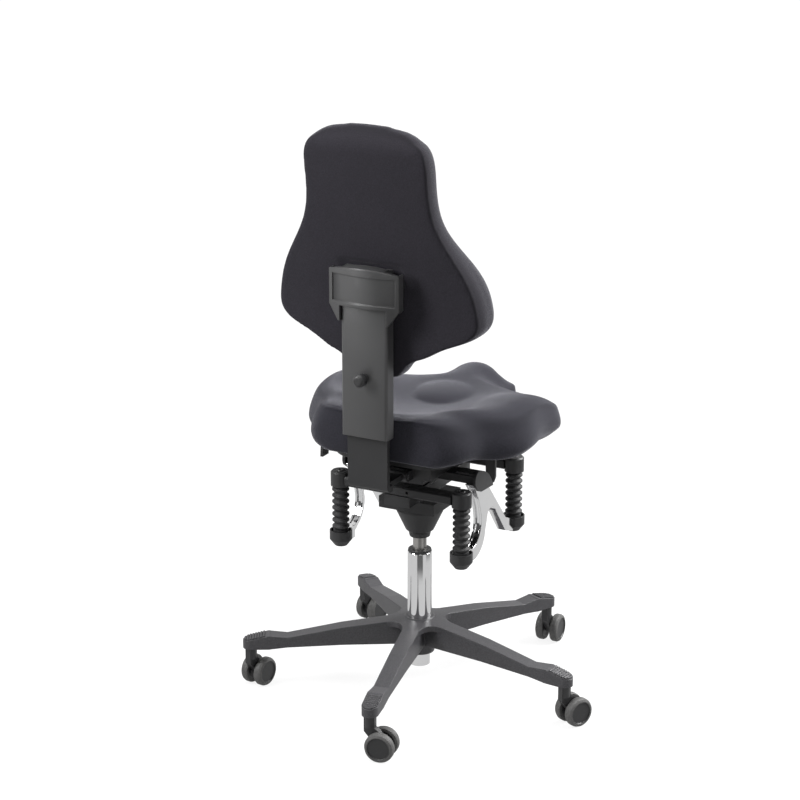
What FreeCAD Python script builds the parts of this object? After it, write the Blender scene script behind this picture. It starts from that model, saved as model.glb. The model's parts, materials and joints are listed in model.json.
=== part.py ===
import FreeCAD, Part
import math
import os
import Sketcher

# A saddle chair with a hanging, swinging seat on a gas lift and five twin-wheel casters.
# Millimetres, +Z up, the sitter faces -Y, origin on the floor under the column.

SIZES = {
    # star base
    "arm_count": 5,
    "base_turn": 29.5,
    "stem_circle": 347.0,
    "hub_collar": 2.0,
    "hub_height": 77.0,
    "hub_boss_radius": 31.0,
    "web_fillet": 32.0,
    "web_thickness": 12.0,
    "arm_root_reach": 20.0,
    "arm_root_width": 36.0,
    "arm_inner_rise": 19.0,
    "arm_root_depth": 55.0,
    "arm_middle_reach": 160.0,
    "arm_middle_width": 33.0,
    "arm_outer_rise": 21.5,
    "arm_middle_depth": 38.0,
    "arm_neck_reach": 272.0,
    "arm_neck_width": 31.0,
    "arm_neck_depth": 21.5,
    "heel_reach": 311.0,
    "heel_rise": 4.0,
    "heel_fall": 13.5,
    "arm_foot_bottom": 89.0,
    "foot_height": 29.5,
    "arm_wall": 4.0,
    "arm_end_radius": 16.5,
    "channel_start": 52.0,
    "pad_length": 44.0,
    "pad_width": 29.0,
    "pad_base": 1.0,
    "pad_ridge": 1.8,
    "ridge_count": 8,
    # casters
    "stem_radius": 5.5,
    "stem_reach": 15.0,
    "caster_trail": 24.0,
    "wheel_radius": 30.0,
    "wheel_width": 19.0,
    "wheel_dish": 3.0,
    "wheel_rim": 7.5,
    "wheel_hub_radius": 10.0,
    "fork_width": 13.0,
    "fork_boss_radius": 13.0,
    "fork_collar_radius": 11.0,
    "axle_radius": 4.0,
    "wheel_gap": 1.0,
    # column and gas lift
    "tube_radius": 25.0,
    "tube_taper": 1.5,
    "tube_top": 299.0,
    "tube_wall": 3.0,
    "stub_radius": 21.5,
    "stub_bottom": 51.0,
    "stub_wall": 4.0,
    "guide_length": 84.0,
    "guide_collar": 4.0,
    "cylinder_radius": 14.0,
    "cylinder_bottom": 114.0,
    "cylinder_wall": 2.5,
    "cylinder_gland": 12.0,
    "cylinder_roof": 40.0,
    "rod_radius": 5.0,
    "rod_end": 53.0,
    "rod_shoulder_radius": 8.5,
    "rod_shoulder_height": 4.0,
    "race_height": 2.0,
    "race_radius": 10.0,
    "bearing_height": 5.0,
    "piston_bottom": 252.0,
    "piston_height": 12.0,
    "release_pin_radius": 3.0,
    "release_pin_length": 26.0,
    "release_pin_proud": 6.0,
    "release_pin_room": 6.0,
    # fixed carrier under the seat
    "hub_cone_bottom": 332.0,
    "hub_cone_foot_radius": 21.0,
    "hub_cone_waist": 347.0,
    "hub_cone_waist_radius": 29.0,
    "hub_cone_radius": 50.0,
    "hub_cone_top": 392.0,
    "box_bottom": 402.0,
    "box_top": 426.0,
    "box_half_width": 62.0,
    "box_front": -60.0,
    "box_rear": 60.0,
    "box_wall": 6.0,
    "spine_half_width": 28.0,
    "beam_bottom": 448.0,
    "beam_height": 20.0,
    "beam_depth": 30.0,
    "beam_hole_radius": 3.0,
    "beam_hole_spread": 22.0,
    "bolt_radius": 4.0,
    "bolt_line": 15.0,
    "bolt_head_radius": 6.5,
    "bolt_head_height": 3.0,
    "bolt_grip": 18.0,
    # swing elements
    "swing_half_width": 136.0,
    "swing_centre": -36.0,
    "swing_half_length": 120.5,
    "upper_ball_height": 458.0,
    "lower_ball_height": 334.0,
    "ball_radius": 9.0,
    "swing_rod_radius": 5.0,
    "liner_wall": 2.4,
    "liner_half_height": 6.5,
    "socket_lip": 8.0,
    "socket_skirt": 6.0,
    "skirt_wall": 2.4,
    "upper_cap_radius": 20.0,
    "upper_cap_height": 17.5,
    "upper_cap_flat": 17.0,
    "lower_cap_radius": 23.0,
    "lower_cap_depth": 18.0,
    "lower_cap_foot_radius": 13.0,
    "lower_cap_flange_drop": 5.0,
    "lower_cap_flat": 19.0,
    "plug_head_radius": 8.0,
    "plug_head_height": 2.0,
    "plug_thickness": 4.0,
    "collar_radius": 15.5,
    "collar_height": 6.0,
    "collar_gap": 2.0,
    "collar_lip": 2.5,
    "bellows_radius": 17.5,
    "bellows_valley_radius": 13.0,
    "bellows_wall": 1.6,
    "rib_count": 7,
    # polished brackets, measured from the middle of the four swing elements
    "bracket_plane": 135.0,
    "bracket_thickness": 18.0,
    "bracket_web": 6.0,
    "bracket_flange": 8.0,
    "head_top": 478.0,
    "head_depth": 38.0,
    "head_rear": 86.0,
    "head_front": 31.0,
    "head_front_drop": 22.0,
    "head_nose": 17.0,
    "front_knee": -66.0,
    "front_knee_rise": 42.0,
    "waist_rear": 46.5,
    "waist_rise": 74.0,
    "rear_sweep_upper": 149.0,
    "rear_sweep_lower": 46.0,
    "foot_top_reach": 82.0,
    "bracket_foot_drop": 14.0,
    "bracket_foot_height": 26.0,
    "rear_inner_reach": 29.0,
    "rear_inner_rise": 46.0,
    "rear_inner_sweep": 52.0,
    "crotch_rear": 18.5,
    "crotch_front": -20.0,
    "crotch_rise": 80.0,
    "crotch_drop": 9.0,
    "crotch_radius": 25.0,
    "front_inner_reach": -66.0,
    "front_foot_rise": 13.0,
    "groove_width": 9.0,
    "groove_depth": 4.0,
    # seat carrier and cover hoods
    "carrier_arm_height": 16.0,
    "carrier_arm_front": 4.0,
    "carrier_arm_rear": 43.0,
    "carrier_floor": 494.0,
    "carrier_spine_half": 62.0,
    "carrier_front": -120.0,
    "carrier_rear": 108.0,
    "carrier_top": 534.0,
    "carrier_box_half": 80.0,
    "carrier_wall": 6.0,
    "hood_thickness": 6.0,
    "hood_front": -29.0,
    "hood_edge": 456.0,
    "hood_waist": 26.0,
    "hood_rear": 48.0,
    "hood_rear_height": 474.0,
    "hood_crown": 40.0,
    "hood_top": 505.0,
    "hood_brow_radius": 80.0,
    "hood_heel_radius": 20.0,
    "hood_lip_thickness": 4.0,
    "hood_lip_front": 12.0,
    "hood_lip_reach": 100.0,
    # levers
    "left_lever_line": 58.0,
    "right_lever_line": -58.0,
    "lever_height": 510.0,
    "lever_rod_radius": 5.0,
    "lever_seat": 30.0,
    "lever_blade_start": 153.0,
    "lever_tip": 190.0,
    "lever_blade_width": 24.0,
    "lever_blade_thickness": 7.0,
    "lever_lip_drop": 24.0,
    "lever_lip_thickness": 6.0,
    "paddle_inner": 118.0,
    "paddle_outer": 141.0,
    "paddle_bottom": 450.0,
    "paddle_thickness": 7.0,
    # seat
    "seat_rear": 186.0,
    "seat_nose": -272.0,
    "seat_half_width": 248.0,
    "seat_rear_half": 125.0,
    "seat_taper_start": -20.0,
    "seat_taper_end": 250.0,
    "seat_lobe_front": -188.0,
    "nose_half": 94.0,
    "seat_rear_top": 644.0,
    "seat_hollow_top": 603.0,
    "seat_hollow_line": -36.0,
    "seat_lobe_top": 641.0,
    "seat_shoulder_drop": 15.0,
    "nose_top": 632.0,
    "nose_fall": 34.0,
    "pommel_half_width": 87.0,
    "pommel_half_length": 89.0,
    "pommel_height": 31.0,
    "pommel_line": -122.0,
    "pommel_sink": 13.0,
    "seat_underside": 546.0,
    "seat_skirt": 514.0,
    "seat_end_draw": 11.0,
    "pan_half_width": 128.0,
    "pan_front": -190.0,
    "pan_rear": 158.0,
    "pan_corner": 60.0,
    "pan_depth": 12.0,
    "pan_skin": 4.0,
    "pan_rim": 5.0,
    # back bar
    "bar_half_width": 43.5,
    "bar_front": 210.0,
    "bar_thickness": 10.0,
    "bar_bottom": 498.0,
    "bar_top": 812.0,
    "bar_bend": 14.0,
    "bar_foot_half": 31.5,
    "bar_foot_thickness": 12.0,
    "recline_line": 128.0,
    "recline_height": 504.0,
    "knuckle_radius": 10.0,
    "recline_pin_radius": 5.0,
    "recline_ear": 9.0,
    # sleeve and head
    "sleeve_half_width": 49.5,
    "sleeve_front": 206.0,
    "sleeve_rear": 232.0,
    "sleeve_wall": 3.5,
    "sleeve_lip": 13.5,
    "sleeve_rib_line": 25.0,
    "sleeve_rib_width": 6.0,
    "sleeve_bottom": 609.0,
    "sleeve_top": 941.8,
    "knob_height": 729.0,
    "knob_radius": 13.0,
    "knob_length": 27.0,
    "knob_shaft_radius": 4.0,
    "knob_flutes": 8,
    "head_block_bottom": 862.0,
    "head_half_width": 75.0,
    "head_top_edge": 946.0,
    "head_shoulder": 937.0,
    "head_lower_edge": 868.0,
    "head_ear_bottom": 838.0,
    "head_cover_front": 214.0,
    "head_cover_rear": 243.0,
    "head_cover_side": 231.0,
    "head_cover_wall": 3.0,
    "head_panel_depth": 1.5,
    "head_panel_margin": 8.0,
    "tilt_height": 903.0,
    "tilt_pin_radius": 5.0,
    "tilt_ear_gap": 1.5,
    "tilt_ear_thickness": 5.0,
    "tilt_ear_radius": 12.0,
    "plate_half_width": 60.0,
    "plate_half_height": 30.0,
    "plate_thickness": 4.0,
    # backrest
    "core_half_width": 66.0,
    "core_half_height": 45.0,
    "core_thickness": 8.0,
    "core_rear": 194.0,
    "back_bottom": 718.0,
    "back_top": 1212.0,
    "back_tongue_half": 58.0,
    "back_wing_half": 219.0,
    "back_wing_height": 874.0,
    "back_neck_half": 134.0,
    "back_neck_height": 1076.0,
    "back_rear_low": 193.0,
    "back_lean_start": 860.0,
    "back_rear_top": 246.0,
    "back_thickness_low": 58.0,
    "back_thickness_top": 44.0,
    "back_edge_top": 54.0,
    "back_edge_wing": 92.0,
    "back_rear_bow": 9.0,
    # fits
    "running_fit": 0.05,
    "seat_fit": 0.02,
    "face_gap": 0.3,
}

doc = FreeCAD.newDocument("SaddleChair")
sheet = doc.addObject("Spreadsheet::Sheet", "sizes")


class Size:
    # A length that carries its number and the sheet formula that binds it.
    def __init__(self, value, text):
        self.value = float(value)
        self.text = text

    def __add__(self, other):
        return join(self, "+", other)

    def __radd__(self, other):
        return join(other, "+", self)

    def __sub__(self, other):
        return join(self, "-", other)

    def __rsub__(self, other):
        return join(other, "-", self)

    def __mul__(self, other):
        return join(self, "*", other)

    def __rmul__(self, other):
        return join(other, "*", self)

    def __truediv__(self, other):
        return join(self, "/", other)

    def __rtruediv__(self, other):
        return join(other, "/", self)

    def __neg__(self):
        return join(0.0, "-", self)


def as_size(number):
    return number if isinstance(number, Size) else Size(number, repr(float(number)))


def join(left, sign, right):
    left = as_size(left)
    right = as_size(right)
    if sign == "+":
        value = left.value + right.value
    elif sign == "-":
        value = left.value - right.value
    elif sign == "*":
        value = left.value * right.value
    else:
        value = left.value / right.value
    return Size(value, "(%s %s %s)" % (left.text, sign, right.text))


def of_angle(name, degrees):
    # Sine, cosine or tangent of an angle in degrees, as a bound size.
    degrees = as_size(degrees)
    value = getattr(math, name)(math.radians(degrees.value))
    return Size(value, "%s(%s * 1 deg)" % (name, degrees.text))


class Sheet:
    # The driving sizes, by name, as bound sizes.
    def __getattr__(self, name):
        return Size(SIZES[name], "sizes." + name)


for row, (name, number) in enumerate(SIZES.items(), start=1):
    sheet.set("A%d" % row, name)
    sheet.set("B%d" % row, repr(number))
    sheet.setAlias("B%d" % row, name)
doc.recompute()
d = Sheet()
nodes = {}

# Heights that follow from others, from the caster socket up to the hub and along the brackets
foot_top = d.arm_foot_bottom + d.foot_height
neck_top = foot_top - d.heel_rise
middle_top = neck_top + d.arm_outer_rise
root_top = middle_top + d.arm_inner_rise
hub_top = root_top + d.hub_collar
hub_bottom = hub_top - d.hub_height
bracket_foot = d.lower_ball_height - d.bracket_foot_drop
foot_shelf = bracket_foot + d.bracket_foot_height
head_bottom = d.head_top - d.head_depth


def vector(x=0.0, y=0.0, z=0.0):
    return FreeCAD.Vector(as_size(x).value, as_size(y).value, as_size(z).value)


def bind(thing, name, length):
    if isinstance(length, Size):
        thing.setExpression(name, length.text)
    else:
        setattr(thing, name, length)


def place(thing, x=0.0, y=0.0, z=0.0, turn=0.0, axis=(0, 0, 1)):
    spin = FreeCAD.Rotation(FreeCAD.Vector(*axis), as_size(turn).value)
    thing.Placement = FreeCAD.Placement(vector(x, y, z), spin)
    for letter, length in zip("xyz", (x, y, z)):
        if isinstance(length, Size):
            thing.setExpression("Placement.Base." + letter, length.text)
    return thing


def keep(label, thing):
    thing.Label = label
    nodes[label] = thing
    return thing


def new_body(name):
    return doc.addObject("PartDesign::Body", name)


def origin(body, role):
    return [feature for feature in body.Origin.OriginFeatures if feature.Role == role][0]


def sketch(body, plane, offset=0.0):
    drawn = body.newObject("Sketcher::SketchObject", body.Name + "_sketch")
    drawn.AttachmentSupport = (origin(body, plane), [""])
    drawn.MapMode = "FlatFace"
    drawn.AttachmentOffset = FreeCAD.Placement(vector(0, 0, offset), FreeCAD.Rotation())
    if isinstance(offset, Size):
        drawn.setExpression("AttachmentOffset.Base.z", offset.text)
    return drawn


def pin_point(drawn, geometry, end, x, y):
    for kind, axis, length in (("DistanceX", -2, x), ("DistanceY", -1, y)):
        if isinstance(length, Size):
            index = drawn.addConstraint(Sketcher.Constraint(kind, -1, 1, geometry, end, length.value))
            drawn.setExpression("Constraints[%d]" % index, length.text)
        elif length == 0:
            drawn.addConstraint(Sketcher.Constraint("PointOnObject", geometry, end, axis))
        else:
            drawn.addConstraint(Sketcher.Constraint(kind, -1, 1, geometry, end, float(length)))


def arc_between(start, finish, radius, turn):
    # Minor arc from start to finish; turn is 1 to the left and -1 to the right.
    chord = finish - start
    half = chord.Length / 2.0
    rise = math.sqrt(max(radius * radius - half * half, 0.0))
    side = FreeCAD.Vector(-chord.y, chord.x, 0).normalize()
    centre = start + chord * 0.5 + side * (rise * turn)
    angles = [math.atan2(point.y - centre.y, point.x - centre.x) for point in (start, finish)]
    if turn < 0:
        angles.reverse()
    return Part.ArcOfCircle(Part.Circle(centre, FreeCAD.Vector(0, 0, 1), radius), angles[0], angles[1])


def outline(drawn, points):
    # Closed path. A point is (x, y), or (x, y, radius, turn) where an arc arrives at it.
    count = len(points)
    first = drawn.GeometryCount
    ends = []
    for index in range(count):
        here = vector(points[index][0], points[index][1])
        goal = points[(index + 1) % count]
        there = vector(goal[0], goal[1])
        if len(goal) == 2:
            drawn.addGeometry(Part.LineSegment(here, there))
            ends.append((1, 2))
        else:
            drawn.addGeometry(arc_between(here, there, as_size(goal[2]).value, goal[3]))
            ends.append((1, 2) if goal[3] > 0 else (2, 1))
    for index in range(count):
        after = (index + 1) % count
        drawn.addConstraint(Sketcher.Constraint(
            "Coincident", first + index, ends[index][1], first + after, ends[after][0]))
    for index in range(count):
        pin_point(drawn, first + index, ends[index][0], points[index][0], points[index][1])
        goal = points[(index + 1) % count]
        if len(goal) > 2:
            number = drawn.addConstraint(Sketcher.Constraint("Radius", first + index, as_size(goal[2]).value))
            if isinstance(goal[2], Size):
                drawn.setExpression("Constraints[%d]" % number, goal[2].text)
    return drawn


def circle(drawn, x, y, radius):
    index = drawn.addGeometry(Part.Circle(vector(x, y), FreeCAD.Vector(0, 0, 1), as_size(radius).value))
    pin_point(drawn, index, 3, x, y)
    number = drawn.addConstraint(Sketcher.Constraint("Radius", index, as_size(radius).value))
    if isinstance(radius, Size):
        drawn.setExpression("Constraints[%d]" % number, radius.text)
    return drawn


def rectangle(drawn, x0, x1, y0, y1):
    return outline(drawn, [(x0, y0), (x1, y0), (x1, y1), (x0, y1)])


def feature(body, kind, drawn, length=None, symmetric=False, reverse=False, through=False):
    made = body.newObject("PartDesign::" + kind, body.Name + "_" + kind)
    made.Profile = drawn
    if length is not None:
        bind(made, "Length", length)
    if symmetric:
        made.SideType = "Symmetric"
    if through:
        made.Type = "ThroughAll"
    made.Reversed = reverse
    return made


def turned(body, points, cut=False):
    # Revolves a closed profile of (radius, height) points round the body's Z axis.
    drawn = outline(sketch(body, "XZ_Plane"), points)
    made = body.newObject("PartDesign::Groove" if cut else "PartDesign::Revolution", body.Name + "_turn")
    made.Profile = drawn
    made.ReferenceAxis = (drawn, ["V_Axis"])
    made.Angle = 360.0
    return made


def loft(body, sections, cut=False, ruled=True):
    made = body.newObject("PartDesign::SubtractiveLoft" if cut else "PartDesign::AdditiveLoft",
                          body.Name + "_loft")
    made.Profile = sections[0]
    made.Sections = sections[1:]
    made.Ruled = ruled
    return made


def polar(body, originals, count):
    made = body.newObject("PartDesign::PolarPattern", body.Name + "_polar")
    made.Originals = originals
    made.Axis = (origin(body, "Z_Axis"), [""])
    made.Angle = 360.0
    bind(made, "Occurrences", count)
    body.Tip = made
    return made


def mirrored(body, originals, plane):
    made = body.newObject("PartDesign::Mirrored", body.Name + "_mirrored")
    made.Originals = originals
    made.MirrorPlane = (origin(body, plane), [""])
    body.Tip = made
    return made


def primitive(kind, name, **sizes):
    made = doc.addObject("Part::" + kind, name)
    for key, length in sizes.items():
        bind(made, key, length)
    return made


def together(name, things):
    made = doc.addObject("Part::Compound", name)
    made.Links = things
    return made


def copy_at(master, name, x=0.0, y=0.0, z=0.0, turn=0.0, axis=(0, 0, 1)):
    return place(together(name, [master]), x, y, z, turn, axis)


def mirror_across(master, name):
    made = doc.addObject("Part::Mirroring", name)
    made.Source = master
    made.Base = FreeCAD.Vector(0, 0, 0)
    made.Normal = FreeCAD.Vector(1, 0, 0)
    return made


def solid_node(label, shape):
    made = doc.addObject("Part::Feature", label)
    made.Shape = shape
    made.Placement = FreeCAD.Placement()
    return keep(label, made)


# Star base

def arm_section(body, reach, width, bottom, top, inset=0.0):
    drawn = sketch(body, "YZ_Plane", reach)
    return rectangle(drawn, -(width / 2 - inset), width / 2 - inset, bottom, top)


def star_base():
    body = new_body("star_base")
    half_angle = 180.0 / d.arm_count
    root_bottom = root_top - d.arm_root_depth
    web_line = d.arm_root_width / 2 + d.web_fillet
    web_reach = web_line / of_angle("tan", half_angle)
    web_centre = web_line / of_angle("sin", half_angle)
    fall = (root_top - middle_top) / (d.arm_middle_reach - d.arm_root_reach)
    web_top = root_top - (web_reach - d.arm_root_reach) * fall
    # Hub boss with a thin web round its top, scooped out between the arms.
    turned(body, [(0, hub_bottom), (d.hub_boss_radius, hub_bottom),
                  (d.hub_boss_radius, root_top - d.web_thickness),
                  (web_reach, web_top - d.web_thickness), (web_reach, web_top), (d.hub_boss_radius, root_top),
                  (d.tube_radius + d.arm_wall, hub_top), (0, hub_top)])
    drawn = sketch(body, "XY_Plane", hub_bottom)
    circle(drawn, web_centre * of_angle("cos", half_angle), web_centre * of_angle("sin", half_angle),
           d.web_fillet)
    scoop = feature(body, "Pocket", drawn, hub_top - hub_bottom, reverse=True)
    polar(body, [scoop], d.arm_count)

    arm = loft(body, [
        arm_section(body, d.arm_root_reach, d.arm_root_width, root_bottom, root_top),
        arm_section(body, d.arm_middle_reach, d.arm_middle_width, middle_top - d.arm_middle_depth, middle_top),
        arm_section(body, d.arm_neck_reach, d.arm_neck_width, neck_top - d.arm_neck_depth, neck_top),
        arm_section(body, d.heel_reach, d.arm_end_radius * 2, d.arm_foot_bottom, foot_top)])
    # Rounded heel over the caster, with a top that falls to the tip.
    tip = d.stem_circle + d.arm_end_radius
    start = d.heel_reach - d.arm_wall
    drawn = outline(sketch(body, "XY_Plane", d.arm_foot_bottom), [
        (start, -d.arm_end_radius), (d.stem_circle, -d.arm_end_radius), (tip, 0, d.arm_end_radius, 1),
        (d.stem_circle, d.arm_end_radius, d.arm_end_radius, 1), (start, d.arm_end_radius)])
    foot = feature(body, "Pad", drawn, d.foot_height)
    polar(body, [arm, foot], d.arm_count)
    drawn = outline(sketch(body, "XZ_Plane"), [
        (d.heel_reach, foot_top), (tip + d.arm_wall, foot_top - d.heel_fall),
        (tip + d.arm_wall, foot_top + d.arm_wall), (d.heel_reach - d.arm_wall, foot_top + d.arm_wall),
        (d.heel_reach - d.arm_wall, foot_top)])
    slope = feature(body, "Pocket", drawn, d.arm_end_radius * 3, symmetric=True)
    polar(body, [slope], d.arm_count)

    trough = loft(body, [
        arm_section(body, d.channel_start, d.arm_root_width, hub_bottom - d.arm_wall,
                    middle_top - d.arm_wall, d.arm_wall),
        arm_section(body, d.arm_middle_reach, d.arm_middle_width, hub_bottom - d.arm_wall,
                    middle_top - d.arm_wall, d.arm_wall),
        arm_section(body, d.arm_neck_reach, d.arm_neck_width, d.arm_foot_bottom - d.arm_wall,
                    neck_top - d.arm_wall, d.arm_wall),
        arm_section(body, d.heel_reach, d.arm_neck_width, d.arm_foot_bottom - d.arm_wall,
                    neck_top - d.arm_wall, d.arm_wall)], cut=True)
    polar(body, [trough], d.arm_count)

    drawn = circle(sketch(body, "XY_Plane", d.arm_foot_bottom), d.stem_circle, 0, d.stem_radius + d.running_fit)
    stem_bore = feature(body, "Pocket", drawn, d.stem_reach + d.face_gap, reverse=True)
    polar(body, [stem_bore], d.arm_count)
    taper_foot = d.tube_radius - d.tube_taper + d.seat_fit
    turned(body, [(0, hub_bottom - d.arm_wall), (taper_foot, hub_bottom - d.arm_wall), (taper_foot, hub_bottom),
                  (d.tube_radius + d.seat_fit, hub_top), (d.tube_radius + d.seat_fit, hub_top + d.arm_wall),
                  (0, hub_top + d.arm_wall)], cut=True)
    keep("star_base", place(body, turn=d.base_turn))


def foot_pads():
    # Ridged step pads on the sloping heels: a comb profile across the arm, cut round at the tip.
    master = new_body("foot_pad")
    tip = d.stem_circle + d.arm_end_radius
    slope = d.heel_fall / (tip + d.arm_wall - d.heel_reach)
    inset = d.arm_end_radius - d.pad_width / 2
    pad_end = tip - inset
    pad_start = pad_end - d.pad_length
    pitch = d.pad_length / d.ridge_count

    def on_heel(reach, rise):
        return reach, foot_top - (reach - d.heel_reach) * slope + rise

    points = [on_heel(pad_start, as_size(0.0)), on_heel(pad_end, as_size(0.0))]
    for index in reversed(range(SIZES["ridge_count"])):
        start = pad_start + pitch * index
        points += [on_heel(start + pitch * 0.95, d.pad_base),
                   on_heel(start + pitch * 0.75, d.pad_base + d.pad_ridge),
                   on_heel(start + pitch * 0.30, d.pad_base + d.pad_ridge),
                   on_heel(start + pitch * 0.10, d.pad_base)]
    feature(master, "Pad", outline(sketch(master, "XZ_Plane"), points), d.pad_width, symmetric=True)
    drawn = sketch(master, "XY_Plane", d.arm_foot_bottom)
    half = d.pad_width / 2
    outline(drawn, [(d.stem_circle, -half), (pad_end, 0, half, 1), (d.stem_circle, half, half, 1),
                    (d.stem_circle, half * 2), (tip * 2 - d.stem_circle, half * 2),
                    (tip * 2 - d.stem_circle, -half * 2), (d.stem_circle, -half * 2)])
    feature(master, "Pocket", drawn, d.foot_height * 2, reverse=True)
    pads = []
    for index in range(SIZES["arm_count"]):
        angle = d.base_turn + 360.0 / d.arm_count * index
        pads.append(copy_at(master, "pad_%d" % index, turn=angle))
    keep("foot_pads", together("foot_pads", pads))


# Casters, drawn with the stem on the Z axis and the wheels trailing along +X

def caster_masters():
    fork = new_body("caster_fork")
    collar_top = d.arm_foot_bottom - d.face_gap
    neck = d.wheel_radius * 2
    outline_points = [
        (-d.fork_collar_radius, collar_top), (-d.fork_collar_radius, neck - 4.0),
        (d.caster_trail - d.fork_boss_radius, d.wheel_radius),
        (d.caster_trail, d.wheel_radius - d.fork_boss_radius, d.fork_boss_radius, 1),
        (d.caster_trail + d.fork_boss_radius, d.wheel_radius, d.fork_boss_radius, 1),
        (d.fork_collar_radius, neck + 4.0, 60.0, 1), (d.fork_collar_radius, collar_top)]
    feature(fork, "Pad", outline(sketch(fork, "XZ_Plane"), outline_points), d.fork_width, symmetric=True)
    drawn = circle(sketch(fork, "XY_Plane", neck + 4.0), 0, 0, d.fork_collar_radius)
    feature(fork, "Pad", drawn, collar_top - neck - 4.0)
    drawn = circle(sketch(fork, "XY_Plane", collar_top), 0, 0, d.stem_radius + d.seat_fit)
    feature(fork, "Pocket", drawn, d.stem_reach)
    drawn = circle(sketch(fork, "XZ_Plane"), d.caster_trail, d.wheel_radius, d.axle_radius + d.seat_fit)
    feature(fork, "Pocket", drawn, d.fork_width * 2, symmetric=True)

    stem = primitive("Cylinder", "caster_stem", Radius=d.stem_radius, Height=d.stem_reach * 2 - d.face_gap)
    place(stem, z=collar_top - d.stem_reach)
    axle = primitive("Cylinder", "caster_axle", Radius=d.axle_radius, Height=d.fork_width + d.wheel_width * 1.6)
    place(axle, d.caster_trail, d.fork_width / 2 + d.wheel_width * 0.8, d.wheel_radius, 90.0, (1, 0, 0))
    pins = together("caster_pins", [stem, axle])

    wheel = new_body("caster_wheel")
    inner = d.fork_width / 2 + d.wheel_gap
    outer = inner + d.wheel_width
    bore = d.axle_radius + d.running_fit
    rim = d.wheel_radius - d.wheel_rim
    axle_end = d.fork_width / 2 + d.wheel_width * 0.8 + d.face_gap
    turned(wheel, [(bore, inner), (d.wheel_hub_radius, inner), (d.wheel_hub_radius + 3.0, inner + d.wheel_dish),
                   (rim - 3.0, inner + d.wheel_dish), (rim, inner + 1.0), (d.wheel_radius - 1.5, inner + 1.0),
                   (d.wheel_radius, inner + 4.0), (d.wheel_radius, outer - 7.0),
                   (d.wheel_radius - 1.8, outer - 3.0),
                   (d.wheel_radius - 5.5, outer - 1.0), (rim, outer - 1.0), (rim - 1.5, outer - d.wheel_dish),
                   (0, outer - d.wheel_dish), (0, axle_end), (bore, axle_end)])
    near = copy_at(wheel, "wheel_near", d.caster_trail, 0, d.wheel_radius, -90.0, (1, 0, 0))
    far = copy_at(wheel, "wheel_far", d.caster_trail, 0, d.wheel_radius, 90.0, (1, 0, 0))
    return fork, pins, together("caster_wheel_pair", [near, far])


def casters():
    # Each caster stands at the end of an arm, turned as it last rolled.
    fork, pins, wheels = caster_masters()
    headings = {"left": 263.0, "rear": 190.0, "right": 243.0, "front_right": 273.0, "front_left": 258.0}
    for index, (side, heading) in enumerate(headings.items()):
        angle = d.base_turn + 360.0 / d.arm_count * index
        x = d.stem_circle * of_angle("cos", angle)
        y = d.stem_circle * of_angle("sin", angle)
        for label, master in (("fork", fork), ("pins", pins), ("wheels", wheels)):
            name = "%s_caster_%s" % (side, label)
            keep(name, copy_at(master, name, x, y, 0.0, heading))


# Column and gas lift

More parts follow.
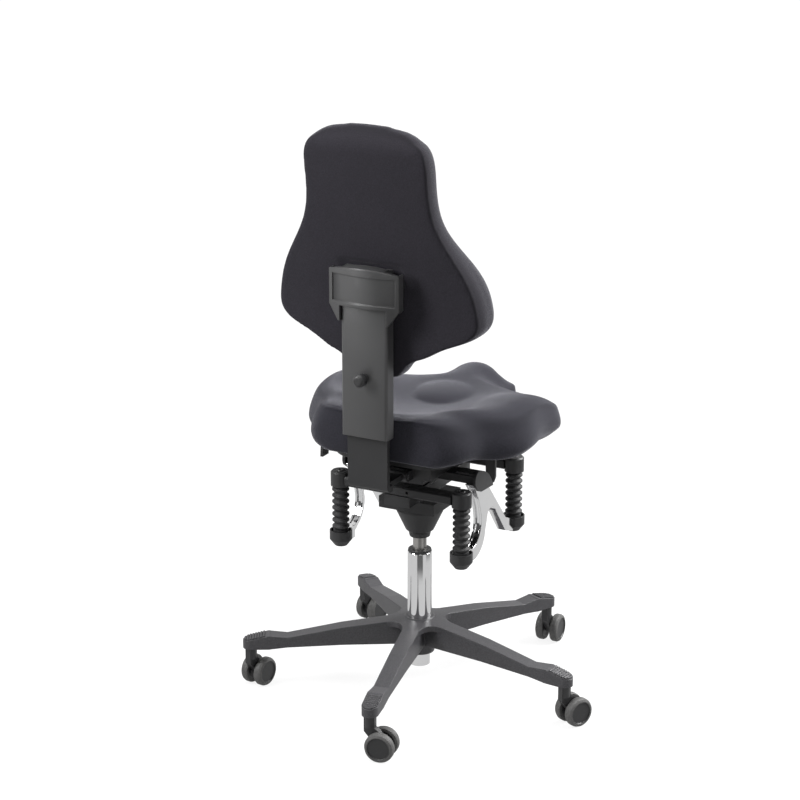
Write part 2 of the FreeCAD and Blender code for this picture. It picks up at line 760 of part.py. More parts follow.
def column():
    tube = new_body("column_tube")
    inner = d.tube_radius - d.tube_wall
    shoulder = hub_bottom - 10.0
    stub_inner = d.stub_radius - d.stub_wall
    turned(tube, [(d.rod_radius + 0.5, d.stub_bottom), (d.stub_radius, d.stub_bottom),
                  (d.stub_radius, shoulder),
                  (d.tube_radius - d.tube_taper, hub_bottom), (d.tube_radius, hub_top),
                  (d.tube_radius, d.tube_top - 1.5), (d.tube_radius - 1.0, d.tube_top), (inner, d.tube_top),
                  (inner, hub_top), (inner - d.tube_taper, hub_bottom + d.stub_wall),
                  (stub_inner, shoulder + d.stub_wall), (stub_inner, d.stub_bottom + d.stub_wall),
                  (d.rod_radius + 0.5, d.stub_bottom + d.stub_wall)])
    keep("column_tube", tube)

    guide = new_body("column_guide")
    bore = d.cylinder_radius + d.running_fit
    turned(guide, [(bore, d.tube_top - d.guide_length), (inner - d.seat_fit, d.tube_top - d.guide_length),
                   (inner - d.seat_fit, d.tube_top), (d.tube_radius - 0.5, d.tube_top),
                   (d.tube_radius - 1.5, d.tube_top + d.guide_collar), (bore, d.tube_top + d.guide_collar)])
    keep("column_guide", guide)

    floor = d.stub_bottom + d.stub_wall
    levels = (floor, floor + d.race_height, floor + d.race_height + d.bearing_height)
    heights = (d.race_height, d.bearing_height, d.race_height)
    rings = []
    for name, level, height, radius in zip(("lower_race", "ball_cage", "upper_race"), levels, heights,
                                           (d.race_radius, d.race_radius - 0.8, d.race_radius)):
        ring = new_body(name)
        bore = d.rod_radius + 0.5
        turned(ring, [(bore, level), (radius, level), (radius, level + height), (bore, level + height)])
        rings.append(ring)
    keep("foot_bearing", together("foot_bearing", rings))

    rod = new_body("piston_rod")
    rest = floor + d.race_height * 2 + d.bearing_height + d.running_fit
    piston_radius = d.cylinder_radius - d.cylinder_wall - d.running_fit
    piston_top = d.piston_bottom + d.piston_height
    turned(rod, [(0, d.rod_end), (d.rod_radius, d.rod_end), (d.rod_radius, rest), (d.rod_shoulder_radius, rest),
                 (d.rod_shoulder_radius, rest + d.rod_shoulder_height),
                 (d.rod_radius, rest + d.rod_shoulder_height),
                 (d.rod_radius, d.piston_bottom), (piston_radius, d.piston_bottom), (piston_radius, piston_top),
                 (0, piston_top)])
    keep("piston_rod", rod)

    cylinder = new_body("gas_cylinder")
    cavity = d.cylinder_radius - d.cylinder_wall
    gland = d.rod_radius + d.running_fit
    roof = d.box_bottom - d.cylinder_roof
    pin_bore = d.release_pin_radius + d.running_fit
    pin_floor = d.box_bottom + d.release_pin_proud - d.release_pin_length - d.release_pin_room
    turned(cylinder, [(gland, d.cylinder_bottom), (d.cylinder_radius - 1.0, d.cylinder_bottom),
                      (d.cylinder_radius, d.cylinder_bottom + 1.0), (d.cylinder_radius, d.box_bottom),
                      (pin_bore, d.box_bottom), (pin_bore, pin_floor), (0, pin_floor), (0, roof),
                      (cavity, roof),
                      (cavity, d.cylinder_bottom + d.cylinder_gland),
                      (gland, d.cylinder_bottom + d.cylinder_gland)])
    keep("gas_cylinder", cylinder)

    pin = primitive("Cylinder", "release_pin", Radius=d.release_pin_radius, Height=d.release_pin_length)
    keep("release_pin", place(pin, z=d.box_bottom + d.release_pin_proud - d.release_pin_length))


# Fixed carrier: hub casting, two cross beams and the upper sockets

def carrier():
    hub = new_body("carrier_hub")
    bore = d.cylinder_radius + d.seat_fit
    turned(hub, [(bore, d.hub_cone_bottom), (d.hub_cone_foot_radius, d.hub_cone_bottom),
                 (d.hub_cone_foot_radius + 2.0, d.hub_cone_waist - 5.0),
                 (d.hub_cone_waist_radius, d.hub_cone_waist),
                 (d.hub_cone_radius, d.hub_cone_top), (d.hub_cone_radius, d.box_bottom), (bore, d.box_bottom)])
    drawn = rectangle(sketch(hub, "XY_Plane", d.box_bottom), -d.box_half_width, d.box_half_width,
                      d.box_front, d.box_rear)
    feature(hub, "Pad", drawn, d.box_top - d.box_bottom)
    rail_front = d.swing_centre - d.swing_half_length - d.beam_depth / 2
    rail_rear = d.swing_centre + d.swing_half_length + d.beam_depth / 2
    drawn = rectangle(sketch(hub, "XY_Plane", d.box_top), -d.spine_half_width, d.spine_half_width,
                      rail_front, rail_rear)
    feature(hub, "Pad", drawn, d.beam_bottom - d.box_top)
    # Open well over the valve, with the spine left as two walls beside it.
    drawn = rectangle(sketch(hub, "XY_Plane", d.box_bottom + d.box_wall), d.box_wall - d.spine_half_width,
                      d.spine_half_width - d.box_wall, d.box_front + d.box_wall, d.box_rear - d.box_wall)
    feature(hub, "Pocket", drawn, d.beam_bottom - d.box_bottom, reverse=True)
    drawn = circle(sketch(hub, "XY_Plane", d.box_bottom), 0, 0, bore)
    feature(hub, "Pocket", drawn, d.box_wall, reverse=True)
    drawn = sketch(hub, "XY_Plane", d.beam_bottom)
    for side in (-1, 1):
        for end in (-1, 1):
            circle(drawn, d.bolt_line * side, d.swing_centre + d.swing_half_length * end,
                   d.bolt_radius + d.seat_fit)
    feature(hub, "Pocket", drawn, d.bolt_grip)
    keep("carrier_hub", hub)

    reach = d.swing_half_width - d.upper_cap_flat
    for label, end in (("rear_beam", 1), ("front_beam", -1)):
        beam = new_body(label)
        middle = d.swing_centre + d.swing_half_length * end
        near = middle - d.beam_depth / 2
        far = middle + d.beam_depth / 2
        top = d.beam_bottom + d.beam_height
        nick = 3.0
        drawn = outline(sketch(beam, "YZ_Plane"), [
            (near + nick, d.beam_bottom), (far - nick, d.beam_bottom), (far, d.beam_bottom + nick),
            (far, top - nick),
            (far - nick, top), (near + nick, top), (near, top - nick), (near, d.beam_bottom + nick)])
        feature(beam, "Pad", drawn, reach * 2, symmetric=True)
        drawn = sketch(beam, "XY_Plane", top)
        for side in (-1, 1):
            circle(drawn, d.bolt_line * side, middle, d.bolt_radius + d.seat_fit)
        feature(beam, "Pocket", drawn, d.beam_height + 1.0)
        if end > 0:
            drawn = sketch(beam, "XZ_Plane", -far)
            for side in (-1, 1):
                circle(drawn, d.beam_hole_spread * side, d.beam_bottom + d.beam_height / 2, d.beam_hole_radius)
            feature(beam, "Pocket", drawn, d.beam_depth / 3, reverse=True)
        keep(label, beam)

    bolt = new_body("beam_bolt")
    top = d.beam_bottom + d.beam_height
    turned(bolt, [(0, d.beam_bottom - d.bolt_grip + 1.0), (d.bolt_radius, d.beam_bottom - d.bolt_grip + 1.0),
                  (d.bolt_radius, top), (d.bolt_head_radius, top),
                  (d.bolt_head_radius, top + d.bolt_head_height - 1.0),
                  (d.bolt_head_radius - 1.0, top + d.bolt_head_height), (0, top + d.bolt_head_height)])
    bolts = []
    for side in (-1, 1):
        for end in (-1, 1):
            bolts.append(copy_at(bolt, "bolt", d.bolt_line * side, d.swing_centre + d.swing_half_length * end))
    keep("beam_bolts", together("beam_bolts", bolts))


# Swing elements: ball-ended rods in lined sockets, under ribbed rubber bellows

SWING_CORNERS = {"rear_left": (1, 1), "rear_right": (-1, 1), "front_left": (1, -1), "front_right": (-1, -1)}


def corner_place(corner):
    side, end = SWING_CORNERS[corner]
    return d.swing_half_width * side, d.swing_centre + d.swing_half_length * end


def socket_profile(up, radius, roof, roof_radius, flange_drop):
    # Half section of a socket round a ball centre at height 0; up is -1 where it opens downwards.
    cavity = d.ball_radius + d.running_fit + d.liner_wall + d.running_fit
    lip = d.socket_lip
    mouth = Size(math.sqrt(cavity.value ** 2 - lip.value ** 2),
                 "sqrt(%s^2 - %s^2)" % (cavity.text, lip.text))
    skirt_inner = radius - d.skirt_wall
    rim = lip + d.socket_skirt
    return [(cavity, 0.0), (mouth, lip * up, cavity, up), (skirt_inner, lip * up), (skirt_inner, rim * up),
            (radius, rim * up), (radius, -flange_drop * up), (roof_radius, -roof * up)]


def swing_sockets():
    cavity = d.ball_radius + d.running_fit + d.liner_wall + d.running_fit
    upper = new_body("upper_cap")
    # The upper socket is bored through to take its plug; the lower one is blind and round inside.
    turned(upper, socket_profile(-1, d.upper_cap_radius, d.upper_cap_height, d.upper_cap_radius - 3.0,
                                 d.upper_cap_height - 3.0) + [(cavity, d.upper_cap_height)])
    drawn = rectangle(sketch(upper, "XY_Plane"), -d.upper_cap_radius * 2, -d.upper_cap_flat,
                      -d.upper_cap_radius * 2, d.upper_cap_radius * 2)
    feature(upper, "Pocket", drawn, d.upper_cap_height * 4, symmetric=True)
    lower = new_body("lower_cap")
    blind = socket_profile(1, d.lower_cap_radius, d.lower_cap_depth, d.lower_cap_foot_radius,
                           d.lower_cap_flange_drop)
    blind[0] = (cavity, 0.0, cavity, 1)
    turned(lower, blind + [(0, -d.lower_cap_depth), (0, -cavity)])
    drawn = rectangle(sketch(lower, "XY_Plane"), -d.lower_cap_radius * 2, d.lower_cap_radius * 2,
                      -d.lower_cap_radius * 2, -d.lower_cap_flat)
    feature(lower, "Pocket", drawn, d.lower_cap_depth * 4, symmetric=True)
    plug = new_body("cap_plug")
    base = d.upper_cap_height - d.plug_thickness
    turned(plug, [(0, base), (cavity - d.seat_fit, base), (cavity - d.seat_fit, d.upper_cap_height),
                  (d.plug_head_radius, d.upper_cap_height),
                  (d.plug_head_radius - 1.0, d.upper_cap_height + d.plug_head_height),
                  (d.plug_head_radius / 2, d.upper_cap_height + d.plug_head_height),
                  (d.plug_head_radius / 2, base + 2.0),
                  (0, base + 2.0)])
    uppers = []
    lowers = []
    plugs = []
    for corner, (side, end) in SWING_CORNERS.items():
        x, y = corner_place(corner)
        uppers.append(copy_at(upper, "upper", x, y, d.upper_ball_height, 0.0 if side > 0 else 180.0))
        lowers.append(copy_at(lower, "lower", x, y, d.lower_ball_height, 0.0 if end > 0 else 180.0))
        plugs.append(copy_at(plug, "plug", x, y, d.upper_ball_height))
    keep("upper_caps", together("upper_caps", uppers))
    keep("lower_caps", together("lower_caps", lowers))
    keep("cap_plugs", together("cap_plugs", plugs))


def swing_rods():
    rod = new_body("swing_rod")
    length = d.upper_ball_height - d.lower_ball_height
    neck = Size(math.sqrt(SIZES["ball_radius"] ** 2 - SIZES["swing_rod_radius"] ** 2),
                "sqrt(sizes.ball_radius^2 - sizes.swing_rod_radius^2)")
    turned(rod, [(0, -d.ball_radius), (d.ball_radius, 0, d.ball_radius, 1),
                 (d.swing_rod_radius, neck, d.ball_radius, 1),
                 (d.swing_rod_radius, length - neck), (d.ball_radius, length, d.ball_radius, 1),
                 (0, length + d.ball_radius, d.ball_radius, 1)])
    liner = new_body("swing_liner")
    inner = d.ball_radius + d.running_fit
    outer = inner + d.liner_wall
    inner_edge = Size(math.sqrt(inner.value ** 2 - SIZES["liner_half_height"] ** 2),
                      "sqrt(%s^2 - sizes.liner_half_height^2)" % inner.text)
    outer_edge = Size(math.sqrt(outer.value ** 2 - SIZES["liner_half_height"] ** 2),
                      "sqrt(%s^2 - sizes.liner_half_height^2)" % outer.text)
    turned(liner, [(outer_edge, -d.liner_half_height), (outer_edge, d.liner_half_height, outer, 1),
                   (inner_edge, d.liner_half_height), (inner_edge, -d.liner_half_height, inner, -1)])
    upper_liners = {1: [], -1: []}
    lower_liners = []
    for corner, (side, end) in SWING_CORNERS.items():
        x, y = corner_place(corner)
        keep(corner + "_rod", copy_at(rod, corner + "_rod", x, y, d.lower_ball_height))
        upper_liners[end].append(copy_at(liner, "liner", x, y, d.upper_ball_height))
        lower_liners.append(copy_at(liner, "liner", x, y, d.lower_ball_height))
    keep("rear_upper_liners", together("rear_upper_liners", upper_liners[1]))
    keep("front_upper_liners", together("front_upper_liners", upper_liners[-1]))
    keep("rear_left_lower_liner", together("rear_left_lower_liner", lower_liners[:1]))
    keep("lower_liners", together("lower_liners", lower_liners[1:]))


def bellows():
    # Ribbed tube with a bore, its end collars gripping the rod.
    bottom = SIZES["lower_ball_height"] + SIZES["socket_lip"] + SIZES["collar_gap"]
    top = SIZES["upper_ball_height"] - SIZES["socket_lip"] - SIZES["collar_gap"]
    start = bottom + SIZES["collar_height"]
    pitch = (top - bottom - 2 * SIZES["collar_height"]) / SIZES["rib_count"]
    grip = SIZES["swing_rod_radius"] + SIZES["running_fit"]
    lip = SIZES["collar_lip"]
    bore = SIZES["bellows_valley_radius"] - SIZES["bellows_wall"]
    points = [(grip, bottom), (SIZES["collar_radius"], bottom), (SIZES["collar_radius"], start)]
    for index in range(SIZES["rib_count"]):
        level = start + pitch * index
        points += [(SIZES["bellows_valley_radius"], level + pitch * 0.08),
                   (SIZES["bellows_radius"], level + pitch * 0.42),
                   (SIZES["bellows_radius"], level + pitch * 0.62),
                   (SIZES["bellows_valley_radius"], level + pitch * 0.92)]
    points += [(SIZES["collar_radius"], top - SIZES["collar_height"]), (SIZES["collar_radius"], top),
               (grip, top),
               (grip, top - lip), (bore, top - lip), (bore, bottom + lip), (grip, bottom + lip), (grip, bottom)]
    section = Part.Face(Part.makePolygon([FreeCAD.Vector(radius, 0, height) for radius, height in points]))
    ribbed = section.revolve(FreeCAD.Vector(0, 0, 0), FreeCAD.Vector(0, 0, 1), 360.0)
    for corner in SWING_CORNERS:
        x, y = corner_place(corner)
        made = doc.addObject("Part::Feature", corner + "_bellows")
        made.Shape = ribbed.copy()
        keep(corner + "_bellows", place(made, x, y))


# Seat carrier: polished brackets, hoods, cast carrier and its levers

def swing_y(reach):
    return d.swing_centre + reach


def brackets():
    left = new_body("left_bracket")
    foot_end = d.swing_half_length - d.lower_cap_flat
    knee = bracket_foot + d.front_knee_rise
    waist = bracket_foot + d.waist_rise
    crotch = bracket_foot + d.crotch_rise
    rear_inner = bracket_foot + d.rear_inner_rise
    drawn = outline(sketch(left, "YZ_Plane", d.bracket_plane), [
        (swing_y(d.head_rear), d.head_top, d.rear_sweep_upper, -1), (swing_y(d.head_front), d.head_top),
        (swing_y(d.head_nose), d.head_top - d.head_front_drop), (swing_y(d.front_knee), knee),
        (swing_y(-foot_end), foot_shelf),
        (swing_y(-foot_end), bracket_foot), (swing_y(d.front_inner_reach), bracket_foot + d.front_foot_rise),
        (swing_y(d.crotch_front), crotch - d.crotch_drop),
        (swing_y(d.crotch_rear), crotch, d.crotch_radius, -1),
        (swing_y(d.rear_inner_reach), rear_inner),
        (swing_y(d.foot_top_reach), bracket_foot, d.rear_inner_sweep, 1),
        (swing_y(foot_end), bracket_foot), (swing_y(foot_end), foot_shelf),
        (swing_y(d.foot_top_reach), foot_shelf),
        (swing_y(d.waist_rear), waist, d.rear_sweep_lower, -1)])
    feature(left, "Pad", drawn, d.bracket_thickness, symmetric=True)
    # Open on the inner side, which leaves an outer web, a rear flange and a flange under the front leg.
    flange = d.bracket_flange
    hollow = outline(sketch(left, "YZ_Plane", d.bracket_plane - d.bracket_thickness / 2), [
        (swing_y(d.waist_rear) + flange / 2, head_bottom), (swing_y(d.waist_rear) - flange, waist),
        (swing_y(d.foot_top_reach) - flange / 4, foot_shelf - flange, d.rear_sweep_lower + flange, 1),
        (swing_y(d.foot_top_reach) - flange / 4, bracket_foot - 20.0),
        (swing_y(d.crotch_rear) - flange, bracket_foot - 20.0), (swing_y(4.0), crotch - 2.0),
        (swing_y(0.0), crotch + 13.0), (swing_y(-12.0), crotch + 9.0),
        (swing_y(d.crotch_front) - 5.5, crotch - d.crotch_drop + 4.4),
        (swing_y(d.front_inner_reach) - 5.5, bracket_foot + d.front_foot_rise + 4.4),
        (swing_y(d.front_inner_reach) - 5.5, knee + 10.0), (swing_y(-8.0), head_bottom)])
    feature(left, "Pocket", hollow, d.bracket_thickness - d.bracket_web, reverse=True)
    # Hollow along the rear of the rear leg, between two polished rims.
    groove = outline(sketch(left, "YZ_Plane", d.bracket_plane), [
        (swing_y(d.head_rear) + d.groove_depth, d.head_top - d.groove_depth),
        (swing_y(d.head_rear) - d.groove_depth * 1.4, d.head_top - d.groove_depth),
        (swing_y(d.waist_rear) - d.groove_depth, waist, d.rear_sweep_upper, 1),
        (swing_y(d.foot_top_reach) - d.groove_depth, foot_shelf - d.groove_depth / 4,
         d.rear_sweep_lower + d.groove_depth, 1),
        (swing_y(d.foot_top_reach) + d.groove_depth, foot_shelf + d.groove_depth * 2)])
    feature(left, "Pocket", groove, d.groove_width, symmetric=True)
    keep("left_bracket", left)
    keep("right_bracket", mirror_across(left, "right_bracket"))

    hood = new_body("left_hood")
    face = d.bracket_plane + d.bracket_thickness / 2 + d.running_fit
    drawn = outline(sketch(hood, "YZ_Plane", face), [
        (d.hood_front, d.hood_edge, d.hood_brow_radius, 1), (d.hood_waist, d.hood_edge + 3.0),
        (d.hood_rear, d.hood_rear_height), (d.hood_crown, d.hood_top, d.hood_heel_radius, 1)])
    feature(hood, "Pad", drawn, d.hood_thickness)
    arm_top = d.head_top + d.carrier_arm_height + d.running_fit
    drawn = rectangle(sketch(hood, "XY_Plane", arm_top), d.hood_lip_reach, face + d.hood_thickness / 2,
                      d.hood_lip_front, d.hood_crown)
    feature(hood, "Pad", drawn, d.hood_lip_thickness)
    right = mirror_across(hood, "right_hood")
    keep("bracket_covers", together("bracket_covers", [hood, right]))


def seat_carrier():
    body = new_body("seat_carrier")
    arm_end = d.bracket_plane + d.bracket_thickness / 2
    drawn = rectangle(sketch(body, "XY_Plane", d.head_top), -arm_end, arm_end, d.carrier_arm_front,
                      d.carrier_arm_rear)
    feature(body, "Pad", drawn, d.carrier_arm_height)
    drawn = rectangle(sketch(body, "XY_Plane", d.head_top + d.carrier_wall), -d.carrier_spine_half,
                      d.carrier_spine_half,
                      d.carrier_front + 20.0, d.carrier_rear)
    feature(body, "Pad", drawn, d.carrier_arm_height)
    drawn = rectangle(sketch(body, "XY_Plane", d.carrier_floor), -d.carrier_box_half, d.carrier_box_half,
                      d.carrier_front, d.carrier_rear)
    feature(body, "Pad", drawn, d.carrier_top - d.carrier_floor)
    drawn = rectangle(sketch(body, "XY_Plane", d.carrier_floor + d.carrier_wall),
                      d.carrier_wall - d.carrier_box_half,
                      d.carrier_box_half - d.carrier_wall,
                      d.right_lever_line + d.lever_rod_radius + d.carrier_wall,
                      d.left_lever_line - d.lever_rod_radius - d.carrier_wall)
    feature(body, "Pocket", drawn, d.carrier_top - d.carrier_floor, reverse=True)
    # Ears for the recline pin behind the box.
    ear_inner = d.bar_foot_half + d.face_gap
    drawn = outline(sketch(body, "YZ_Plane"), [
        (d.carrier_rear - 4.0, d.recline_height - d.knuckle_radius),
        (d.recline_line, d.recline_height - d.knuckle_radius),
        (d.recline_line, d.recline_height + d.knuckle_radius, d.knuckle_radius + 0.001, 1),
        (d.carrier_rear - 4.0, d.recline_height + d.knuckle_radius)])
    feature(body, "Pad", drawn, (ear_inner + d.recline_ear) * 2, symmetric=True)
    drawn = rectangle(sketch(body, "XY_Plane", d.head_top), -ear_inner, ear_inner,
                      d.recline_line - d.knuckle_radius - 3.0, d.recline_line + d.knuckle_radius * 2)
    feature(body, "Pocket", drawn, d.carrier_top - d.head_top, reverse=True)
    drawn = circle(sketch(body, "YZ_Plane"), d.recline_line, d.recline_height,
                   d.recline_pin_radius + d.seat_fit)
    feature(body, "Pocket", drawn, d.carrier_box_half * 2, symmetric=True)
    for line, turned_in in ((d.left_lever_line, False), (d.right_lever_line, True)):
        drawn = circle(sketch(body, "YZ_Plane"), line, d.lever_height, d.lever_rod_radius + d.running_fit)
        feature(body, "Pocket", drawn, d.carrier_box_half + 1.0, reverse=not turned_in)
    keep("seat_carrier", body)

    pin = primitive("Cylinder", "recline_pin", Radius=d.recline_pin_radius,
                    Height=(ear_inner + d.recline_ear) * 2)
    keep("recline_pin", place(pin, -(ear_inner + d.recline_ear), d.recline_line, d.recline_height, 90.0,
                              (0, 1, 0)))


def levers():
    left = new_body("left_lever")
    drawn = circle(sketch(left, "YZ_Plane", d.lever_seat), d.left_lever_line, d.lever_height,
                   d.lever_rod_radius)
    feature(left, "Pad", drawn, d.lever_blade_start + 6.0 - d.lever_seat)
    top = d.lever_height + d.lever_rod_radius
    under = top - d.lever_blade_thickness
    drawn = outline(sketch(left, "XZ_Plane", -d.left_lever_line), [
        (d.lever_blade_start, under), (d.lever_tip - d.lever_lip_thickness, under),
        (d.lever_tip - d.lever_lip_thickness + 1.0, top - d.lever_lip_drop),
        (d.lever_tip + 1.0, top - d.lever_lip_drop),
        (d.lever_tip, top - 4.0), (d.lever_tip - 4.0, top, 4.0, 1), (d.lever_blade_start, top)])
    feature(left, "Pad", drawn, d.lever_blade_width, symmetric=True)
    keep("left_lever", left)

    # The right lever hangs as a flat paddle in front of the bracket.
    right = new_body("right_lever")
    drawn = circle(sketch(right, "YZ_Plane", -d.paddle_outer + 4.0), d.right_lever_line, d.lever_height,
                   d.lever_rod_radius)
    feature(right, "Pad", drawn, d.paddle_outer - 4.0 - d.lever_seat)
    drawn = outline(sketch(right, "XZ_Plane", -d.right_lever_line), [
        (-d.paddle_outer, top), (-d.paddle_outer, d.paddle_bottom + 12.0),
        (-d.paddle_outer + 4.0, d.paddle_bottom), (-d.paddle_inner - 8.0, d.paddle_bottom),
        (-d.paddle_inner - 3.0, d.paddle_bottom + 12.0), (-d.paddle_inner, top)])
    feature(right, "Pad", drawn, d.paddle_thickness, symmetric=True)
    keep("right_lever", right)


# Seat pan and cushion

def seat_pan():
    body = new_body("seat_pan")

    def rounded(drawn, inset):
        half = d.pan_half_width - inset
        front = d.pan_front + inset
        rear = d.pan_rear - inset
        corner = d.pan_corner - inset
        return outline(drawn, [
            (-half, front + corner), (corner - half, front, corner, 1), (half - corner, front),
            (half, front + corner, corner, 1), (half, rear - corner), (half - corner, rear, corner, 1),
            (corner - half, rear), (-half, rear - corner, corner, 1)])

    bottom = d.seat_underside - d.pan_depth
    feature(body, "Pad", rounded(sketch(body, "XY_Plane", bottom), as_size(0.0)), d.pan_depth)
    hollow = rounded(sketch(body, "XY_Plane", bottom), d.pan_rim)
    rectangle(hollow, -d.carrier_box_half, d.carrier_box_half, d.carrier_front, d.carrier_rear)
    feature(body, "Pocket", hollow, d.pan_depth - d.pan_skin, reverse=True)
    keep("seat_pan", body)


def ramp(value, start, finish):
    # Smooth step from 0 at start to 1 at finish.
    share = min(max((value - start) / (finish - start), 0.0), 1.0)
    return share * share * (3.0 - 2.0 * share)


def blend(low, high, share):
    return low + (high - low) * share


def seat_section(y, draw):
    # Saddle cross-section at depth y: hollow middle, raised lobes, rounded shoulders, slanting flanks.
    taper = ramp(y, SIZES["seat_taper_start"], SIZES["seat_taper_end"])
    nose = ramp(y, SIZES["seat_lobe_front"] + 40.0, SIZES["seat_lobe_front"] - 32.0)
    half = blend(SIZES["seat_half_width"], SIZES["seat_rear_half"], taper)
    half = blend(half, SIZES["nose_half"], nose) - draw * 1.8
    hollow = ramp(abs(y - SIZES["seat_hollow_line"]), 20.0, SIZES["seat_rear"] - SIZES["seat_hollow_line"])
    middle = SIZES["seat_rear_top"] - 4.0 if y > SIZES["seat_hollow_line"] else SIZES["nose_top"]
    middle = blend(SIZES["seat_hollow_top"], middle, hollow) - draw * 0.7
    lobe = blend(SIZES["seat_lobe_top"], SIZES["seat_rear_top"], ramp(y, -60.0, SIZES["seat_rear"]))
    lobe = blend(lobe, SIZES["nose_top"] - SIZES["nose_fall"],
                 ramp(y, SIZES["seat_lobe_front"] + 128.0, SIZES["seat_lobe_front"] - 27.0)) - draw * 0.7
    skirt = blend(SIZES["seat_skirt"], SIZES["seat_underside"] + 8.0, ramp(y, -60.0, SIZES["seat_rear"] - 20.0))
    skirt = blend(skirt, SIZES["seat_underside"] + 8.0, nose) + draw * 0.9
    base = SIZES["seat_underside"] + draw
    flat = min(half * 0.85 - 8.0, SIZES["pan_half_width"] + 6.0)
    rearward = ramp(y, -80.0, 60.0)
    widest = blend(lobe, skirt, blend(0.46, 0.70, rearward))
    hem_share = blend(0.80, 0.91, rearward)
    crest_share = blend(0.78, 0.68, rearward)
    shoulder_share = blend(0.95, 0.86, rearward)
    turn_over = SIZES["seat_shoulder_drop"] * (1.0 - 0.5 * nose)

    def point(share, z):
        return FreeCAD.Vector(share * half, y, z)

    def edges(sign):
        saddle = point(0.42 * sign, blend(middle, lobe, 0.42))
        crest = point(crest_share * sign, lobe)
        shoulder = point(shoulder_share * sign, lobe - turn_over)
        flank = point(1.0 * sign, widest)
        hem = point(hem_share * sign, skirt)
        inner = FreeCAD.Vector(flat * sign, y, base)
        low_flank = point(blend(hem_share, 1.0, 0.70) * sign, blend(widest, skirt, 0.66))
        inner_rise = point(blend(0.42, crest_share, 0.5) * sign, blend(middle, lobe, 0.80) + 1.5)
        turning = point(blend(crest_share, shoulder_share, 0.56) * sign, lobe - turn_over * 0.28)
        high_flank = point(blend(shoulder_share, 1.0, 0.68) * sign, blend(lobe - turn_over, widest, 0.45))
        return [Part.Arc(saddle, inner_rise, crest).toShape(),
                Part.Arc(crest, turning, shoulder).toShape(),
                Part.Arc(shoulder, high_flank, flank).toShape(),
                Part.Arc(flank, low_flank, hem).toShape(),
                Part.LineSegment(hem, inner).toShape()], saddle, inner

    right, right_saddle, right_inner = edges(1)
    left, left_saddle, left_inner = edges(-1)
    crown = Part.Arc(left_saddle, FreeCAD.Vector(0, y, middle), right_saddle).toShape()
    floor = Part.LineSegment(right_inner, left_inner).toShape()
    return Part.Wire(Part.__sortEdges__([crown] + right + [floor] + left))


def pommel():
    # Raised mound on the middle of the front half, as a stretched ball let into the saddle.
    ball = Part.makeSphere(1.0)
    stretch = FreeCAD.Matrix()
    stretch.scale(FreeCAD.Vector(SIZES["pommel_half_width"], SIZES["pommel_half_length"],
                                 SIZES["pommel_height"]))
    mound = ball.transformGeometry(stretch)
    mound.translate(FreeCAD.Vector(0, SIZES["pommel_line"], SIZES["seat_hollow_top"] - SIZES["pommel_sink"]))
    return mound


def seat_cushion():
    rear = SIZES["seat_rear"]
    nose = SIZES["seat_nose"]
    draw = SIZES["seat_end_draw"]
    lobe = SIZES["seat_lobe_front"]
    stations = [(rear, draw), (rear - 4.0, draw * 0.4), (rear - 12.0, 0.0), (rear - 60.0, 0.0), (60.0, 0.0),
                (SIZES["seat_hollow_line"], 0.0), (lobe + 93.0, 0.0), (lobe + 48.0, 0.0), (lobe + 22.0, 0.0),
                (lobe, 0.0), (lobe - 22.0, 0.0), (lobe - 48.0, 0.0), (nose + 16.0, 0.0),
                (nose + 5.0, draw * 0.4), (nose, draw)]
    shape = Part.makeLoft([seat_section(y, drawn) for y, drawn in stations], True, False)
    shape = shape.fuse(pommel())
    # Flat bed for the pan, so that the cushion lies on it all over.
    room = SIZES["face_gap"]
    half = SIZES["pan_half_width"] + room
    bed = Part.makeBox(2 * half, SIZES["pan_rear"] - SIZES["pan_front"] + 2 * room, 4 * SIZES["pan_depth"],
                       FreeCAD.Vector(-half, SIZES["pan_front"] - room,
                                      SIZES["seat_underside"] - 4 * SIZES["pan_depth"]))
    solid_node("seat_cushion", shape.cut(bed))


# Back bar, sleeve and head

def back_bar():
    body = new_body("back_bar")
    rear = d.bar_front + d.bar_thickness
    foot_top = d.bar_bottom + d.bar_foot_thickness
    drawn = outline(sketch(body, "YZ_Plane"), [
        (d.recline_line, d.bar_bottom), (rear - d.bar_bend, d.bar_bottom),
        (rear, d.bar_bottom + d.bar_bend, d.bar_bend, 1), (rear, d.bar_top), (d.bar_front, d.bar_top),
        (d.bar_front, foot_top), (d.recline_line, foot_top)])
    feature(body, "Pad", drawn, d.bar_half_width * 2, symmetric=True)
    drawn = rectangle(sketch(body, "XY_Plane", d.bar_bottom), d.bar_foot_half, d.bar_half_width + 1.0,
                      d.recline_line - 1.0, d.bar_front - d.bar_bend)
    rectangle(drawn, -d.bar_half_width - 1.0, -d.bar_foot_half, d.recline_line - 1.0, d.bar_front - d.bar_bend)
    feature(body, "Pocket", drawn, d.bar_foot_thickness + 1.0, reverse=True)
    drawn = circle(sketch(body, "YZ_Plane"), d.recline_line, d.recline_height, d.knuckle_radius)
    feature(body, "Pad", drawn, d.bar_foot_half * 2, symmetric=True)
    drawn = circle(sketch(body, "YZ_Plane"), d.recline_line, d.recline_height,
                   d.recline_pin_radius + d.running_fit)
    feature(body, "Pocket", drawn, d.bar_half_width * 2, symmetric=True)
    keep("back_bar", body)


